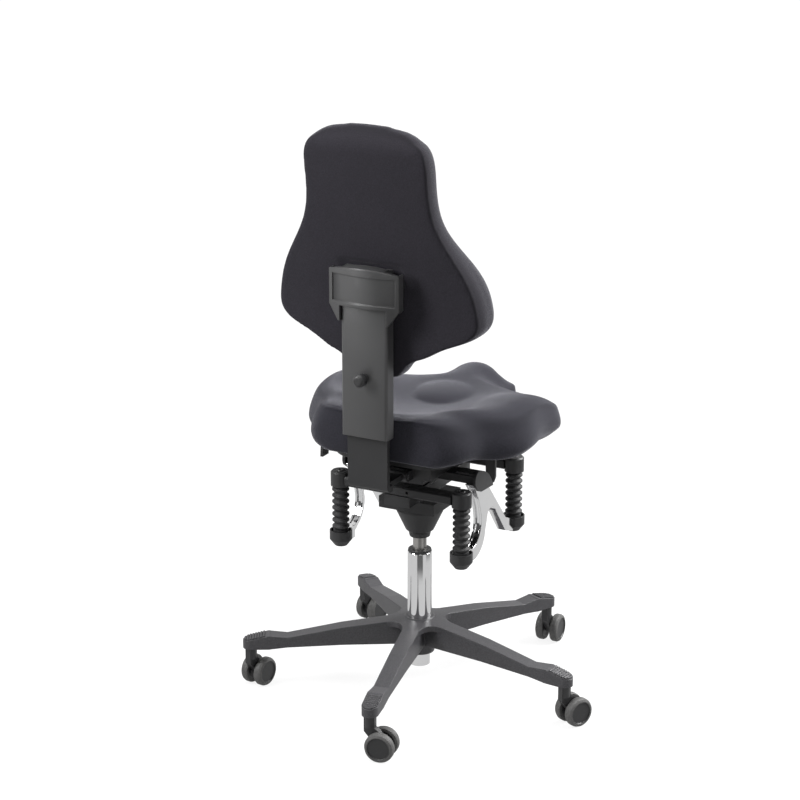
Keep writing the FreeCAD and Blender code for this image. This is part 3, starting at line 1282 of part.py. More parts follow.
def back_sleeve():
    body = new_body("back_sleeve")
    half = d.sleeve_half_width
    lip = half - d.sleeve_lip
    side = d.bar_half_width + d.face_gap
    front = d.bar_front - d.face_gap
    back = d.sleeve_rear - d.sleeve_wall
    glide = d.bar_front + d.bar_thickness + d.face_gap
    rib_in = d.sleeve_rib_line - d.sleeve_rib_width / 2
    rib_out = d.sleeve_rib_line + d.sleeve_rib_width / 2
    drawn = outline(sketch(body, "XY_Plane", d.sleeve_bottom), [
        (lip, d.sleeve_front), (half, d.sleeve_front), (half, d.sleeve_rear - 5.0),
        (half - 5.0, d.sleeve_rear, 5.0, 1),
        (5.0 - half, d.sleeve_rear), (-half, d.sleeve_rear - 5.0, 5.0, 1), (-half, d.sleeve_front),
        (-lip, d.sleeve_front), (-lip, front), (-side, front), (-side, back), (-rib_out, back),
        (-rib_out, glide),
        (-rib_in, glide), (-rib_in, back), (rib_in, back), (rib_in, glide), (rib_out, glide), (rib_out, back),
        (side, back), (side, front), (lip, front)])
    feature(body, "Pad", drawn, d.sleeve_top - d.sleeve_bottom)
    pin_line = d.bar_front + d.bar_thickness / 2
    drawn = circle(sketch(body, "YZ_Plane"), pin_line, d.tilt_height, d.tilt_pin_radius + d.seat_fit)
    feature(body, "Pocket", drawn, half * 3, symmetric=True)
    drawn = circle(sketch(body, "XZ_Plane", -d.sleeve_rear), 0, d.knob_height,
                   d.knob_shaft_radius + d.running_fit)
    feature(body, "Pocket", drawn, d.sleeve_wall + 1.0, reverse=True)
    keep("back_sleeve", body)

    block = new_body("head_block")
    drawn = rectangle(sketch(block, "XY_Plane", d.head_block_bottom), -(side - d.seat_fit), side - d.seat_fit,
                      front + d.seat_fit, glide - d.seat_fit)
    feature(block, "Pad", drawn, d.sleeve_top - d.head_block_bottom)
    drawn = circle(sketch(block, "YZ_Plane"), pin_line, d.tilt_height, d.tilt_pin_radius + d.seat_fit)
    feature(block, "Pocket", drawn, half * 3, symmetric=True)
    keep("head_block", block)

    reach = half + d.tilt_ear_gap + d.tilt_ear_thickness + 4.0
    pin = primitive("Cylinder", "tilt_pin", Radius=d.tilt_pin_radius, Height=reach * 2)
    keep("tilt_pin", place(pin, -reach, pin_line, d.tilt_height, 90.0, (0, 1, 0)))

    knob = new_body("clamp_knob")
    seat = d.bar_front + d.bar_thickness + d.face_gap
    start = d.sleeve_rear + d.face_gap
    end = start + d.knob_length
    turned(knob, [(0, seat), (d.knob_shaft_radius, seat), (d.knob_shaft_radius, start),
                  (d.knob_radius * 0.7, start),
                  (d.knob_radius, start + d.knob_length * 0.35), (d.knob_radius, end - d.knob_radius * 0.6),
                  (d.knob_radius * 0.55, end, d.knob_radius * 0.75, 1), (0, end)])
    keep("clamp_knob", place(knob, 0.0, 0.0, d.knob_height, -90.0, (1, 0, 0)))


def head_cover():
    # Moulded hood over the top of the sleeve: bowed rear face, inset panel, side ears along the sleeve.
    body = new_body("head_cover")
    half = d.head_half_width
    sleeve = d.sleeve_half_width + d.running_fit
    drawn = outline(sketch(body, "XZ_Plane", -d.head_cover_front), [
        (-half, d.head_shoulder, half * 4.5, 1), (-half, d.head_lower_edge), (-sleeve - 4.0, d.head_ear_bottom),
        (-sleeve, d.head_ear_bottom), (-sleeve, d.head_lower_edge), (sleeve, d.head_lower_edge),
        (sleeve, d.head_ear_bottom), (sleeve + 4.0, d.head_ear_bottom), (half, d.head_lower_edge),
        (half, d.head_shoulder)])
    feature(body, "Pad", drawn, d.head_cover_rear - d.head_cover_front, reverse=True)
    bow = d.head_cover_rear - d.head_cover_side
    bow_radius = (half * half + bow * bow) / (bow * 2)
    edge = d.head_cover_rear + 5.0
    drawn = outline(sketch(body, "XY_Plane", d.head_ear_bottom), [
        (half, d.head_cover_side), (-half, d.head_cover_side, bow_radius, 1), (-half - 5.0, d.head_cover_side),
        (-half - 5.0, edge), (half + 5.0, edge), (half + 5.0, d.head_cover_side)])
    feature(body, "Pocket", drawn, d.head_top_edge * 2 - d.head_ear_bottom * 2, reverse=True)
    panel_half = half - d.head_panel_margin
    drawn = outline(sketch(body, "XY_Plane", d.head_lower_edge + d.head_panel_margin), [
        (panel_half, d.head_cover_side), (-panel_half, d.head_cover_side, bow_radius, 1), (-panel_half, edge),
        (panel_half, edge)])
    panel_top = d.head_shoulder - d.head_panel_margin
    feature(body, "Pocket", drawn, panel_top - d.head_lower_edge - d.head_panel_margin, reverse=True)
    inner = half - d.head_cover_wall
    drawn = outline(sketch(body, "XZ_Plane", -d.head_cover_front), [
        (-inner, d.sleeve_top), (-inner, d.head_ear_bottom - 1.0), (inner, d.head_ear_bottom - 1.0),
        (inner, d.sleeve_top)])
    feature(body, "Pocket", drawn, d.head_cover_side - d.head_cover_front - d.head_cover_wall)
    drawn = rectangle(sketch(body, "XZ_Plane", -d.head_cover_front), -sleeve, sleeve,
                      d.head_ear_bottom - 1.0, d.sleeve_top)
    feature(body, "Pocket", drawn, d.sleeve_rear + d.running_fit - d.head_cover_front)
    keep("head_cover", body)


# Backrest

def backrest_mount():
    body = new_body("backrest_bracket")
    plate_rear = d.core_rear + d.plate_thickness
    drawn = rectangle(sketch(body, "XZ_Plane", -d.core_rear), -d.plate_half_width, d.plate_half_width,
                      d.tilt_height - d.plate_half_height, d.tilt_height + d.plate_half_height)
    feature(body, "Pad", drawn, d.plate_thickness, reverse=True)
    pin_line = d.bar_front + d.bar_thickness / 2
    ear = d.tilt_ear_radius
    ear_start = d.sleeve_half_width + d.tilt_ear_gap
    drawn = outline(sketch(body, "YZ_Plane", ear_start), [
        (plate_rear - 1.0, d.tilt_height - ear * 1.6), (pin_line, d.tilt_height - ear),
        (pin_line + ear, d.tilt_height, ear, 1), (pin_line, d.tilt_height + ear, ear, 1),
        (plate_rear - 1.0, d.tilt_height + ear * 1.6)])
    lug = feature(body, "Pad", drawn, d.tilt_ear_thickness)
    drawn = circle(sketch(body, "YZ_Plane"), pin_line, d.tilt_height, d.tilt_pin_radius + d.running_fit)
    mirrored(body, [lug], "YZ_Plane")
    feature(body, "Pocket", drawn, d.plate_half_width * 4, symmetric=True)
    keep("backrest_bracket", body)

    core = primitive("Box", "backrest_core", Length=d.core_half_width * 2, Width=d.core_thickness,
                     Height=d.core_half_height * 2)
    keep("backrest_core", place(core, -d.core_half_width, d.core_rear - d.core_thickness,
                                d.tilt_height - d.core_half_height))


def back_half_width(z):
    low = blend(SIZES["back_tongue_half"], SIZES["back_wing_half"],
                ramp(z, SIZES["back_bottom"] + 14.0, SIZES["back_wing_height"] - 38.0))
    return blend(low, SIZES["back_neck_half"], ramp(z, SIZES["back_wing_height"] - 6.0,
                                                    SIZES["back_neck_height"]))


def back_section(z, draw, trim):
    # Horizontal section of the backrest: bowed rear, deep rounded edges, wings swept forward.
    full = back_half_width(z)
    half = full - trim
    lean = max(z - SIZES["back_lean_start"], 0.0) / (SIZES["back_top"] - SIZES["back_lean_start"])
    wing = ramp(full, SIZES["back_neck_half"], SIZES["back_wing_half"])
    rear = blend(SIZES["back_rear_low"], SIZES["back_rear_top"], lean) - draw
    front = rear - blend(SIZES["back_thickness_low"], SIZES["back_thickness_top"], lean) + draw * 2
    edge_rear = rear - blend(2.0, SIZES["back_rear_bow"], wing)
    sweep = wing * ramp(z, SIZES["back_bottom"] + 40.0, SIZES["back_wing_height"] - 20.0)
    edge_depth = blend(SIZES["back_edge_top"], SIZES["back_edge_wing"], sweep) - draw * 2

    def point(share, depth):
        return FreeCAD.Vector(half * share, edge_rear - edge_depth * depth, z)

    def side(sign):
        return [point(0.95 * sign, 0.0), point(0.989 * sign, 0.17), point(1.0 * sign, 0.46),
                point(0.975 * sign, 0.80), point(0.89 * sign, 1.0)]

    right = side(1)
    left = side(-1)
    edges = [Part.Arc(left[0], FreeCAD.Vector(0, rear, z), right[0]).toShape(),
             Part.Arc(right[0], right[1], right[2]).toShape(),
             Part.Arc(right[2], right[3], right[4]).toShape(),
             Part.Arc(right[4], FreeCAD.Vector(0, front, z), left[4]).toShape(),
             Part.Arc(left[4], left[3], left[2]).toShape(),
             Part.Arc(left[2], left[1], left[0]).toShape()]
    return Part.Wire(edges)


def backrest_cushion():
    bottom = SIZES["back_bottom"]
    top = SIZES["back_top"]
    wing = SIZES["back_wing_height"]
    neck = SIZES["back_neck_height"]
    stations = [(bottom, 15.0, 26.0), (bottom + 4.0, 7.0, 12.0), (bottom + 14.0, 0.0, 0.0),
                (bottom + 36.0, 0.0, 0.0),
                (bottom + 60.0, 0.0, 0.0), (bottom + 85.0, 0.0, 0.0), (wing - 40.0, 0.0, 0.0), (wing, 0.0, 0.0),
                (wing + 50.0, 0.0, 0.0), (wing + 110.0, 0.0, 0.0), (neck - 50.0, 0.0, 0.0),
                (neck + 20.0, 0.0, 0.0),
                (top - 60.0, 0.0, 1.0), (top - 40.0, 1.0, 6.0), (top - 24.0, 3.0, 17.0),
                (top - 12.0, 6.5, 33.0),
                (top - 4.0, 11.0, 60.0), (top, 16.0, 94.0)]
    shape = Part.makeLoft([back_section(z, draw, trim) for z, draw, trim in stations], True, False)
    room = SIZES["face_gap"]
    half_width = SIZES["core_half_width"] + room
    height = 2 * (SIZES["core_half_height"] + room)
    front = SIZES["core_rear"] - SIZES["core_thickness"]
    recess = Part.makeBox(2 * half_width, 200.0, height,
                          FreeCAD.Vector(-half_width, front, SIZES["tilt_height"] - height / 2))
    solid_node("backrest_cushion", shape.cut(recess))


def build():
    star_base()
    foot_pads()
    casters()
    column()
    carrier()
    swing_sockets()
    swing_rods()
    bellows()
    brackets()
    seat_carrier()
    levers()
    seat_pan()
    seat_cushion()
    back_bar()
    back_sleeve()
    head_cover()
    backrest_mount()
    backrest_cushion()
    doc.recompute()


def check():
    for thing in doc.Objects:
        if "Invalid" in thing.State or "Error" in thing.State:
            raise RuntimeError("%s did not build: %s" % (thing.Label, thing.State))
    for label, thing in nodes.items():
        if thing.Shape.isNull() or not thing.Shape.isValid() or not thing.Shape.Solids:
            raise RuntimeError("%s has no valid solid" % label)


def write():
    os.makedirs("parts", exist_ok=True)
    for label, thing in nodes.items():
        thing.Shape.exportStep("parts/%s.step" % label)
    print("%d nodes written" % len(nodes))


build()
check()
write()
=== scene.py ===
import json
import math

import bmesh
import bpy
import numpy as np
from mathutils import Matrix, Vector
from mathutils.bvhtree import BVHTree


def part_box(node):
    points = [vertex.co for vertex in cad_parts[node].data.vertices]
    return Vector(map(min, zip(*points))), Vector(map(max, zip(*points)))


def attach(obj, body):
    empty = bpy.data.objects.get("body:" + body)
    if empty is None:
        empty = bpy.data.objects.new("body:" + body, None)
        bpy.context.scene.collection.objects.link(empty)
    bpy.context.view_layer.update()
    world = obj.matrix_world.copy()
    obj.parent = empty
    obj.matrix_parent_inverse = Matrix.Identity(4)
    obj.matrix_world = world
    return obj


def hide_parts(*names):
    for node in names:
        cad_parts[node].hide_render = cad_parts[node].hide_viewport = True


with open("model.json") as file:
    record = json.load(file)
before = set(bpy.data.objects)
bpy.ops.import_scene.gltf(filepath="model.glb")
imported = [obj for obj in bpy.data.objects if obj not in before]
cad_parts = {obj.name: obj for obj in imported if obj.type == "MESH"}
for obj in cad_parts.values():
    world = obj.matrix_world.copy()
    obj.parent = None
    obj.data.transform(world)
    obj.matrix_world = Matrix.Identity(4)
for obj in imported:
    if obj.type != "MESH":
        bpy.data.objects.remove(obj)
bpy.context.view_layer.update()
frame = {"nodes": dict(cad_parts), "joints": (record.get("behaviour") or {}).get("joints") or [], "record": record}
nodes = frame["nodes"]
scene = bpy.context.scene
scene.view_settings.view_transform = "Standard"
print("frame loaded with", len(nodes), "CAD nodes")


# shader maths

class Wire:  # one output socket, so that sums of sockets read as plain Python
    def __init__(self, paint, socket):
        self.paint, self.socket = paint, socket

    def join(self, operation, first, second=0.0):
        return self.paint.node("ShaderNodeMath", {"operation": operation}, {0: first, 1: second})

    def __add__(self, other):
        return self.join("ADD", self, other)

    def __radd__(self, other):
        return self.join("ADD", other, self)

    def __sub__(self, other):
        return self.join("SUBTRACT", self, other)

    def __rsub__(self, other):
        return self.join("SUBTRACT", other, self)

    def __mul__(self, other):
        return self.join("MULTIPLY", self, other)

    def __rmul__(self, other):
        return self.join("MULTIPLY", other, self)

    def __truediv__(self, other):
        return self.join("DIVIDE", self, other)

    def __rtruediv__(self, other):
        return self.join("DIVIDE", other, self)

    def sine(self):
        return self.join("SINE", self)

    def cosine(self):
        return self.join("COSINE", self)


class Paint:  # one material's or world's node tree
    def __init__(self, owner):
        owner.use_nodes = True
        self.owner, self.tree = owner, owner.node_tree
        self.tree.nodes.clear()

    def node(self, kind, settings=None, sockets=None, out=0):
        made = self.tree.nodes.new(kind)
        for name, value in (settings or {}).items():
            if name == "stops":
                stops = made.color_ramp.elements
                while len(stops) < len(value):
                    stops.new(0.5)
                for stop, (place, shade) in zip(stops, value):
                    stop.position, stop.color = place, (shade, shade, shade, 1.0)
            else:
                setattr(made, name, value)
        for name, value in (sockets or {}).items():
            if isinstance(value, Wire):
                self.tree.links.new(value.socket, made.inputs[name])
            else:
                made.inputs[name].default_value = value
        return Wire(self, made.outputs[out]) if made.outputs else None

    def place(self):
        return self.node("ShaderNodeTexCoord", out=3)

    def noise(self, place, scale, detail=2.0, rough=0.5):
        return self.node("ShaderNodeTexNoise", {}, {"Vector": place, "Scale": scale, "Detail": detail,
                                                    "Roughness": rough})

    def stretched(self, place, share):
        return self.node("ShaderNodeVectorMath", {"operation": "MULTIPLY"}, {0: place, 1: share})

    def split(self, place):
        return [self.node("ShaderNodeSeparateXYZ", {}, {0: place}, out) for out in range(3)]

    def ramp(self, value, stops):
        return self.node("ShaderNodeValToRGB", {"stops": stops}, {0: value})

    def mixed(self, share, first, second):
        return self.node("ShaderNodeMix", {"data_type": "RGBA"}, {0: share, 6: first, 7: second}, 2)

    def bump(self, height, strength, depth, edge=0.0):
        sockets = {"Height": height, "Strength": strength, "Distance": depth}
        if edge:
            sockets["Normal"] = self.node("ShaderNodeBevel", {"samples": 4}, {"Radius": edge})
        return self.node("ShaderNodeBump", {}, sockets)

    def finish(self, **sockets):
        named = {name.replace("_", " "): value for name, value in sockets.items()}
        shader = self.node("ShaderNodeBsdfPrincipled", {}, named)
        self.node("ShaderNodeOutputMaterial", {}, {"Surface": shader})
        return self.owner


def shade(red, green, blue):
    return (red, green, blue, 1.0)


def newPaint(name):
    return Paint(bpy.data.materials.new(name))


# finishes

def mouldedPlastic(name, look):  # fine eroded grain, a little dust-grey drift, rounded edges
    paint = newPaint(name)
    place = paint.place()
    grain = paint.noise(place, look["grain"], 3.0)
    drift = paint.noise(place, 9.0, 3.0)
    tone = drift
    if "speckle" in look:  # coarser grain that shows from a few steps away
        speckle = paint.ramp(paint.noise(place, look["speckle"], 2.0), [(0.35, 0.0), (0.65, 1.0)])
        tone = speckle * 0.6 + drift * 0.4
    colour = paint.mixed(tone, look["dark"], look["light"])
    rough = look["rough"] + (drift - 0.5) * 0.14 + (grain - 0.5) * 0.08
    normal = paint.bump(grain, look["bump"], 0.0004, look["edge"])
    if "crown" in look:  # broad face a little fuller in the middle, across and along
        x, _, z = paint.split(place)
        along = z - look["middle"]
        normal = paint.node("ShaderNodeBump", {}, {
            "Height": x * x * (-0.5 / look["crown"]) + along * along * (-0.5 / look["bow"]),
            "Strength": 1.0, "Distance": 1.0, "Normal": normal})
    return paint.finish(Base_Color=colour, Roughness=rough, Normal=normal, Specular_IOR_Level=look["gloss"])


def polishedChrome(name, look):  # mirror plating with faint wiping marks
    paint = newPaint(name)
    place = paint.place()
    smear = paint.noise(paint.stretched(place, (1.0, 1.0, 0.25)), 34.0, 4.0)
    film = paint.noise(place, 260.0, 2.0)
    colour = paint.mixed(smear, look["dark"], look["light"])
    rough = look["rough"] + paint.ramp(smear, [(0.45, 0.0), (0.8, 1.0)]) * 0.07 + film * 0.02
    normal = paint.bump(film, 0.02, 0.0002, look["edge"])
    return paint.finish(Base_Color=colour, Metallic=1.0, Roughness=rough, Normal=normal)


def turnedSteel(name, look):  # fine turning lines round the part
    paint = newPaint(name)
    place = paint.place()
    lines = paint.noise(paint.stretched(place, (0.15, 0.15, 5.0)), 420.0, 3.0)
    colour = paint.mixed(lines, look["dark"], look["light"])
    rough = look["rough"] + (lines - 0.5) * 0.16
    normal = paint.bump(lines, 0.08, 0.0002, look["edge"])
    return paint.finish(Base_Color=colour, Metallic=1.0, Roughness=rough, Normal=normal)


def powderCoat(name, look):  # orange-peel paint on steel
    paint = newPaint(name)
    place = paint.place()
    peel = paint.noise(place, 520.0, 2.0)
    cloud = paint.noise(place, 12.0, 3.0)
    colour = paint.mixed(cloud, look["dark"], look["light"])
    rough = look["rough"] + (peel - 0.5) * 0.10 + (cloud - 0.5) * 0.10
    normal = paint.bump(peel, look["bump"], 0.0004, look["edge"])
    return paint.finish(Base_Color=colour, Roughness=rough, Normal=normal, Specular_IOR_Level=look["gloss"])


def blackRubber(name, look):  # matt skin with pale bloom
    paint = newPaint(name)
    place = paint.place()
    bloom = paint.noise(place, 55.0, 4.0, 0.6)
    skin = paint.noise(place, 1300.0, 2.0)
    colour = paint.mixed(paint.ramp(bloom, [(0.45, 0.0), (0.78, 1.0)]), look["dark"], look["light"])
    rough = look["rough"] + (bloom - 0.5) * 0.18
    normal = paint.bump(skin, 0.25, 0.0003)
    return paint.finish(Base_Color=colour, Roughness=rough, Normal=normal, Specular_IOR_Level=look["gloss"])


def plywood(name, look):
    paint = newPaint(name)
    place = paint.place()
    grain = paint.noise(paint.stretched(place, (40.0, 40.0, 2.0)), 6.0, 4.0)
    colour = paint.mixed(grain, look["dark"], look["light"])
    rough = 0.6 + (grain - 0.5) * 0.2
    return paint.finish(Base_Color=colour, Roughness=rough, Normal=paint.bump(grain, 0.2, 0.0004))


def knitCloth(name, look):  # heathered knit: loops, flecks, slow shade drift and painted shade along the seams
    paint = newPaint(name)
    place = paint.place()
    x, y, z = [part * look["loops"] for part in paint.split(place)]
    loops = x.sine() * y.cosine() + y.sine() * z.cosine() + z.sine() * x.cosine()
    fleck = paint.noise(paint.stretched(place, (1.0, 1.0, 0.4)), look["fleck"], 3.0, 0.65)
    drift = paint.noise(place, 7.0, 2.0)
    heather = paint.ramp(fleck, [(0.34, 0.0), (0.68, 1.0)])
    colour = paint.mixed(heather * 0.7 + loops * 0.10 + drift * 0.25, look["dark"], look["light"])
    # painted shade: along the seam mask the cloth colour is drawn towards the dark tone, standing in for the shadow
    # in the seam's crease
    sewn = paint.node("ShaderNodeAttribute", {"attribute_name": "sewn"}, out=2)
    colour = paint.mixed(sewn * look["sewnShade"], colour, look["dark"])
    normal = paint.bump(loops * 0.5 + fleck, look["bump"], 0.0007)
    return paint.finish(Base_Color=colour, Roughness=0.86 + (fleck - 0.5) * 0.12, Normal=normal,
                        Specular_IOR_Level=0.15, Sheen_Weight=look["sheen"], Sheen_Roughness=0.35,
                        Sheen_Tint=look["sheenTint"])


def casterTyre(name, look, hub, axle):  # grey soft tread round a black disc
    paint = newPaint(name)
    place = paint.place()
    away = paint.node("ShaderNodeVectorMath", {"operation": "SUBTRACT"}, {0: place, 1: hub})
    along = paint.node("ShaderNodeVectorMath", {"operation": "DOT_PRODUCT"}, {0: away, 1: axle}, 1)
    reach = paint.node("ShaderNodeVectorMath", {"operation": "LENGTH"}, {0: away}, 1)
    radius = paint.node("ShaderNodeMath", {"operation": "SQRT"}, {0: reach * reach - along * along})
    tread = paint.ramp((radius - look["discRadius"]) / look["discEdge"], [(0.0, 0.0), (1.0, 1.0)])
    grain = paint.noise(place, 1200.0, 2.0)
    scuff = paint.noise(place, 140.0, 4.0, 0.65)
    worn = paint.mixed(paint.ramp(scuff, [(0.4, 0.0), (0.75, 1.0)]), look["tread"], look["treadWorn"])
    colour = paint.mixed(tread, look["disc"], worn)
    rough = 0.42 + tread * 0.16 + (scuff - 0.5) * 0.15
    normal = paint.bump(grain, 0.12, 0.0003, 0.0008)
    return paint.finish(Base_Color=colour, Roughness=rough, Normal=normal)


finishes = {
    "base_black": (mouldedPlastic, {"dark": shade(0.026, 0.025, 0.028), "light": shade(0.062, 0.061, 0.066),
                                    "speckle": 460.0, "rough": 0.45, "grain": 1400.0, "bump": 0.22,
                                    "edge": 0.0030, "gloss": 0.50}),
    "polished_chrome": (polishedChrome, {"dark": shade(0.78, 0.78, 0.79), "light": shade(0.90, 0.90, 0.90),
                                         "rough": 0.035, "edge": 0.0014}),
    "black_plastic": (mouldedPlastic, {"dark": shade(0.020, 0.020, 0.021), "light": shade(0.032, 0.032, 0.033),
                                       "rough": 0.44, "grain": 1700.0, "bump": 0.20, "edge": 0.0012, "gloss": 0.42}),
    "black_metal": (powderCoat, {"dark": shade(0.016, 0.016, 0.017), "light": shade(0.026, 0.026, 0.027),
                                 "rough": 0.46, "bump": 0.16, "edge": 0.0010, "gloss": 0.40}),
    "bright_steel": (turnedSteel, {"dark": shade(0.50, 0.50, 0.51), "light": shade(0.70, 0.70, 0.71),
                                   "rough": 0.28, "edge": 0.0004}),
    "cylinder_black": (turnedSteel, {"dark": shade(0.36, 0.35, 0.34), "light": shade(0.50, 0.49, 0.47),
                                     "rough": 0.34, "edge": 0.0006}),
    "bronze": (turnedSteel, {"dark": shade(0.42, 0.29, 0.13), "light": shade(0.60, 0.43, 0.22),
                             "rough": 0.40, "edge": 0.0004}),
    "bellows_rubber": (blackRubber, {"dark": shade(0.016, 0.016, 0.017), "light": shade(0.040, 0.040, 0.042),
                                     "rough": 0.60, "gloss": 0.45}),
    "caster_plastic": (mouldedPlastic, {"dark": shade(0.018, 0.018, 0.019), "light": shade(0.030, 0.030, 0.031),
                                        "rough": 0.40, "grain": 1700.0, "bump": 0.15, "edge": 0.0008, "gloss": 0.5}),
    "board": (plywood, {"dark": shade(0.32, 0.21, 0.11), "light": shade(0.52, 0.38, 0.22)}),
    # each fabric's seam share sets how far its seams are darkened by painted shade
    "seat_fabric": (knitCloth, {"dark": shade(0.012, 0.012, 0.016), "light": shade(0.033, 0.032, 0.041),
                                "loops": 4200.0, "fleck": 900.0, "bump": 0.30, "sheen": 0.30, "sewnShade": 0.5,
                                "sheenTint": shade(0.85, 0.85, 0.92)}),
    "back_fabric": (knitCloth, {"dark": shade(0.010, 0.009, 0.012), "light": shade(0.028, 0.026, 0.033),
                                "loops": 4200.0, "fleck": 900.0, "bump": 0.30, "sheen": 0.28, "sewnShade": 0.8,
                                "sheenTint": shade(0.85, 0.85, 0.92)}),
}
sleeveLook = {"dark": shade(0.038, 0.038, 0.039), "light": shade(0.052, 0.052, 0.053), "rough": 0.38,
              "grain": 1700.0, "bump": 0.20, "edge": 0.0026, "gloss": 0.70,
              "crown": 0.19, "bow": 0.60, "middle": 0.78}
headLook = dict(sleeveLook, edge=0.0040, crown=0.14, middle=0.90)
paints = {slot: make(slot, look) for slot, (make, look) in finishes.items()}
print("finishes made:", len(paints))


# CAD nodes keep their shape and take these finishes

wheelLook = {"disc": shade(0.018, 0.018, 0.019), "tread": shade(0.068, 0.067, 0.066),
             "treadWorn": shade(0.100, 0.099, 0.097), "discRadius": 0.0225, "discEdge": 0.0012}


def wearFinish(piece, material):
    piece.data.materials.clear()
    piece.data.materials.append(material)


rollJoints = {joint["child"]: joint for joint in frame["joints"] if joint["name"].endswith("_wheel_roll")}
for row in frame["record"]["subparts"]:
    node, slot = row["node"], row["material_slot"]
    if slot in paints:
        wearFinish(nodes[node], paints[slot])
    else:
        roll = rollJoints[node.replace("_caster_wheels", "_wheels")]
        wearFinish(nodes[node], casterTyre("tyre_" + node, wheelLook, roll["pos_m"], roll["axis"]))
wearFinish(nodes["head_cover"], mouldedPlastic("head_plastic", headLook))
wearFinish(nodes["back_sleeve"], mouldedPlastic("sleeve_plastic", sleeveLook))
print("finishes on the CAD nodes")


# upholstery

def weldedCopy(node, name, filler):
    work = bmesh.new()
    work.from_mesh(nodes[node].data)
    bmesh.ops.remove_doubles(work, verts=work.verts, dist=0.00002)
    for low, high in filler:  # closed blocks that join the foam in the remesh
        made = bmesh.ops.create_cube(work, size=1.0)["verts"]
        for vert in made:
            vert.co = Vector(low[k] + (high[k] - low[k]) * (vert.co[k] + 0.5) for k in range(3))
    mesh = bpy.data.meshes.new(name)
    work.to_mesh(mesh)
    work.free()
    piece = bpy.data.objects.new(name, mesh)
    scene.collection.objects.link(piece)
    return piece


def bakeModifiers(piece):
    graph = bpy.context.evaluated_depsgraph_get()
    mesh = bpy.data.meshes.new_from_object(piece.evaluated_get(graph))
    piece.modifiers.clear()
    piece.data = mesh


def readPoints(mesh):
    flat = np.zeros(len(mesh.vertices) * 3, np.float32)
    mesh.vertices.foreach_get("co", flat)
    return flat.reshape(-1, 3).astype(float)


def readNormals(mesh):
    flat = np.zeros(len(mesh.vertices) * 3, np.float32)
    mesh.vertex_normals.foreach_get("vector", flat)
    return flat.reshape(-1, 3).astype(float)


def writePoints(mesh, points):
    mesh.vertices.foreach_set("co", points.astype(np.float32).ravel())
    mesh.update()


def spread(mesh, values, rounds):  # average of each point's neighbours, a few times over
    ends = np.zeros(len(mesh.edges) * 2, np.int32)
    mesh.edges.foreach_get("vertices", ends)
    first, second = ends.reshape(-1, 2).T
    count = np.maximum(np.bincount(ends, minlength=len(mesh.vertices)), 1)
    for turn in range(rounds):
        total = np.zeros_like(values)
        np.add.at(total, first, values[second])
        np.add.at(total, second, values[first])
        values = 0.5 * values + 0.5 * total / (count[:, None] if values.ndim == 2 else count)
    return values


def puff(piece, held, look):  # cloth cover blown out over the foam, held where it is sewn or glued down
    start = readPoints(piece.data)
    group = piece.vertex_groups.new(name="held")
    for index, share in enumerate(held):
        group.add([index], float(share), "REPLACE")
    cloth = piece.modifiers.new("cover", "CLOTH")
    cloth.settings.quality = 5
    cloth.settings.mass = 0.3
    cloth.settings.use_pressure = True
    cloth.settings.uniform_pressure_force = look["pressure"]
    cloth.settings.tension_stiffness = look["stretch"]
    cloth.settings.compression_stiffness = look["stretch"]
    cloth.settings.bending_stiffness = look["bend"]
    cloth.settings.vertex_group_mass = "held"
    cloth.settings.pin_stiffness = 1.0
    cloth.settings.effector_weights.gravity = 0.0
    cloth.collision_settings.use_collision = False
    for moment in range(1, 21):
        scene.frame_set(moment)
    bakeModifiers(piece)
    moved = readPoints(piece.data) - start
    reach = np.linalg.norm(moved, axis=1)
    share = np.minimum(1.0, look["cap"] / np.maximum(reach, 1e-9))
    writePoints(piece.data, start + moved * share[:, None])
    scene.frame_set(1)
    print(piece.name, "puffed by up to", round(float((reach * share).max()) * 1000, 1), "mm")


def layOn(points, surface, reach):  # the nearest places on the foam's true surface
    settled = points.copy()
    for index, point in enumerate(points):
        nearest = surface.find_nearest(point, reach)[0]
        if nearest:
            settled[index] = nearest
    return settled


def upholster(node, body, slot, look, seamMask, heldMask, filler=()):
    piece = weldedCopy(node, look["name"], filler)
    surface = BVHTree.FromPolygons([vert.co for vert in piece.data.vertices],
                                   [face.vertices for face in piece.data.polygons])
    remesh = piece.modifiers.new("even", "REMESH")
    remesh.mode, remesh.voxel_size = "VOXEL", look["voxel"]
    bakeModifiers(piece)
    points = layOn(spread(piece.data, readPoints(piece.data), 2), surface, look["voxel"] * 2.0)
    points = spread(piece.data, points, look["smooth"])
    if "shape" in look:
        points = look["shape"](piece.data, points)
    writePoints(piece.data, points)
    normals = spread(piece.data, readNormals(piece.data), 2)
    normals /= np.linalg.norm(normals, axis=1)[:, None]
    seam = seamMask(points, normals)
    writePoints(piece.data, points - normals * look["shrink"])
    puff(piece, np.clip(np.maximum(seam, heldMask(points, normals)), 0.0, 1.0), look)
    points = spread(piece.data, readPoints(piece.data), 1)
    writePoints(piece.data, points + normals * (seam * look["ridge"])[:, None])
    # the seam mask is kept on the cover for the painted shade along the seams in the cloth finish
    piece.data.attributes.new("sewn", "FLOAT", "POINT").data.foreach_set("value", seam.astype(np.float32))
    finer = piece.modifiers.new("finer", "SUBSURF")
    finer.levels = finer.render_levels = 1
    bakeModifiers(piece)
    piece.data.polygons.foreach_set("use_smooth", [True] * len(piece.data.polygons))
    wearFinish(piece, paints[slot])
    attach(piece, body)
    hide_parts(node)
    print(look["name"], "upholstered with", len(piece.data.polygons), "faces")
    return piece


def bell(values, middle, width):
    return np.exp(-((values - middle) / width) ** 2)


def step(values, start, end):  # smooth 0 to 1
    share = np.clip((values - start) / (end - start), 0.0, 1.0)
    return share * share * (3.0 - 2.0 * share)


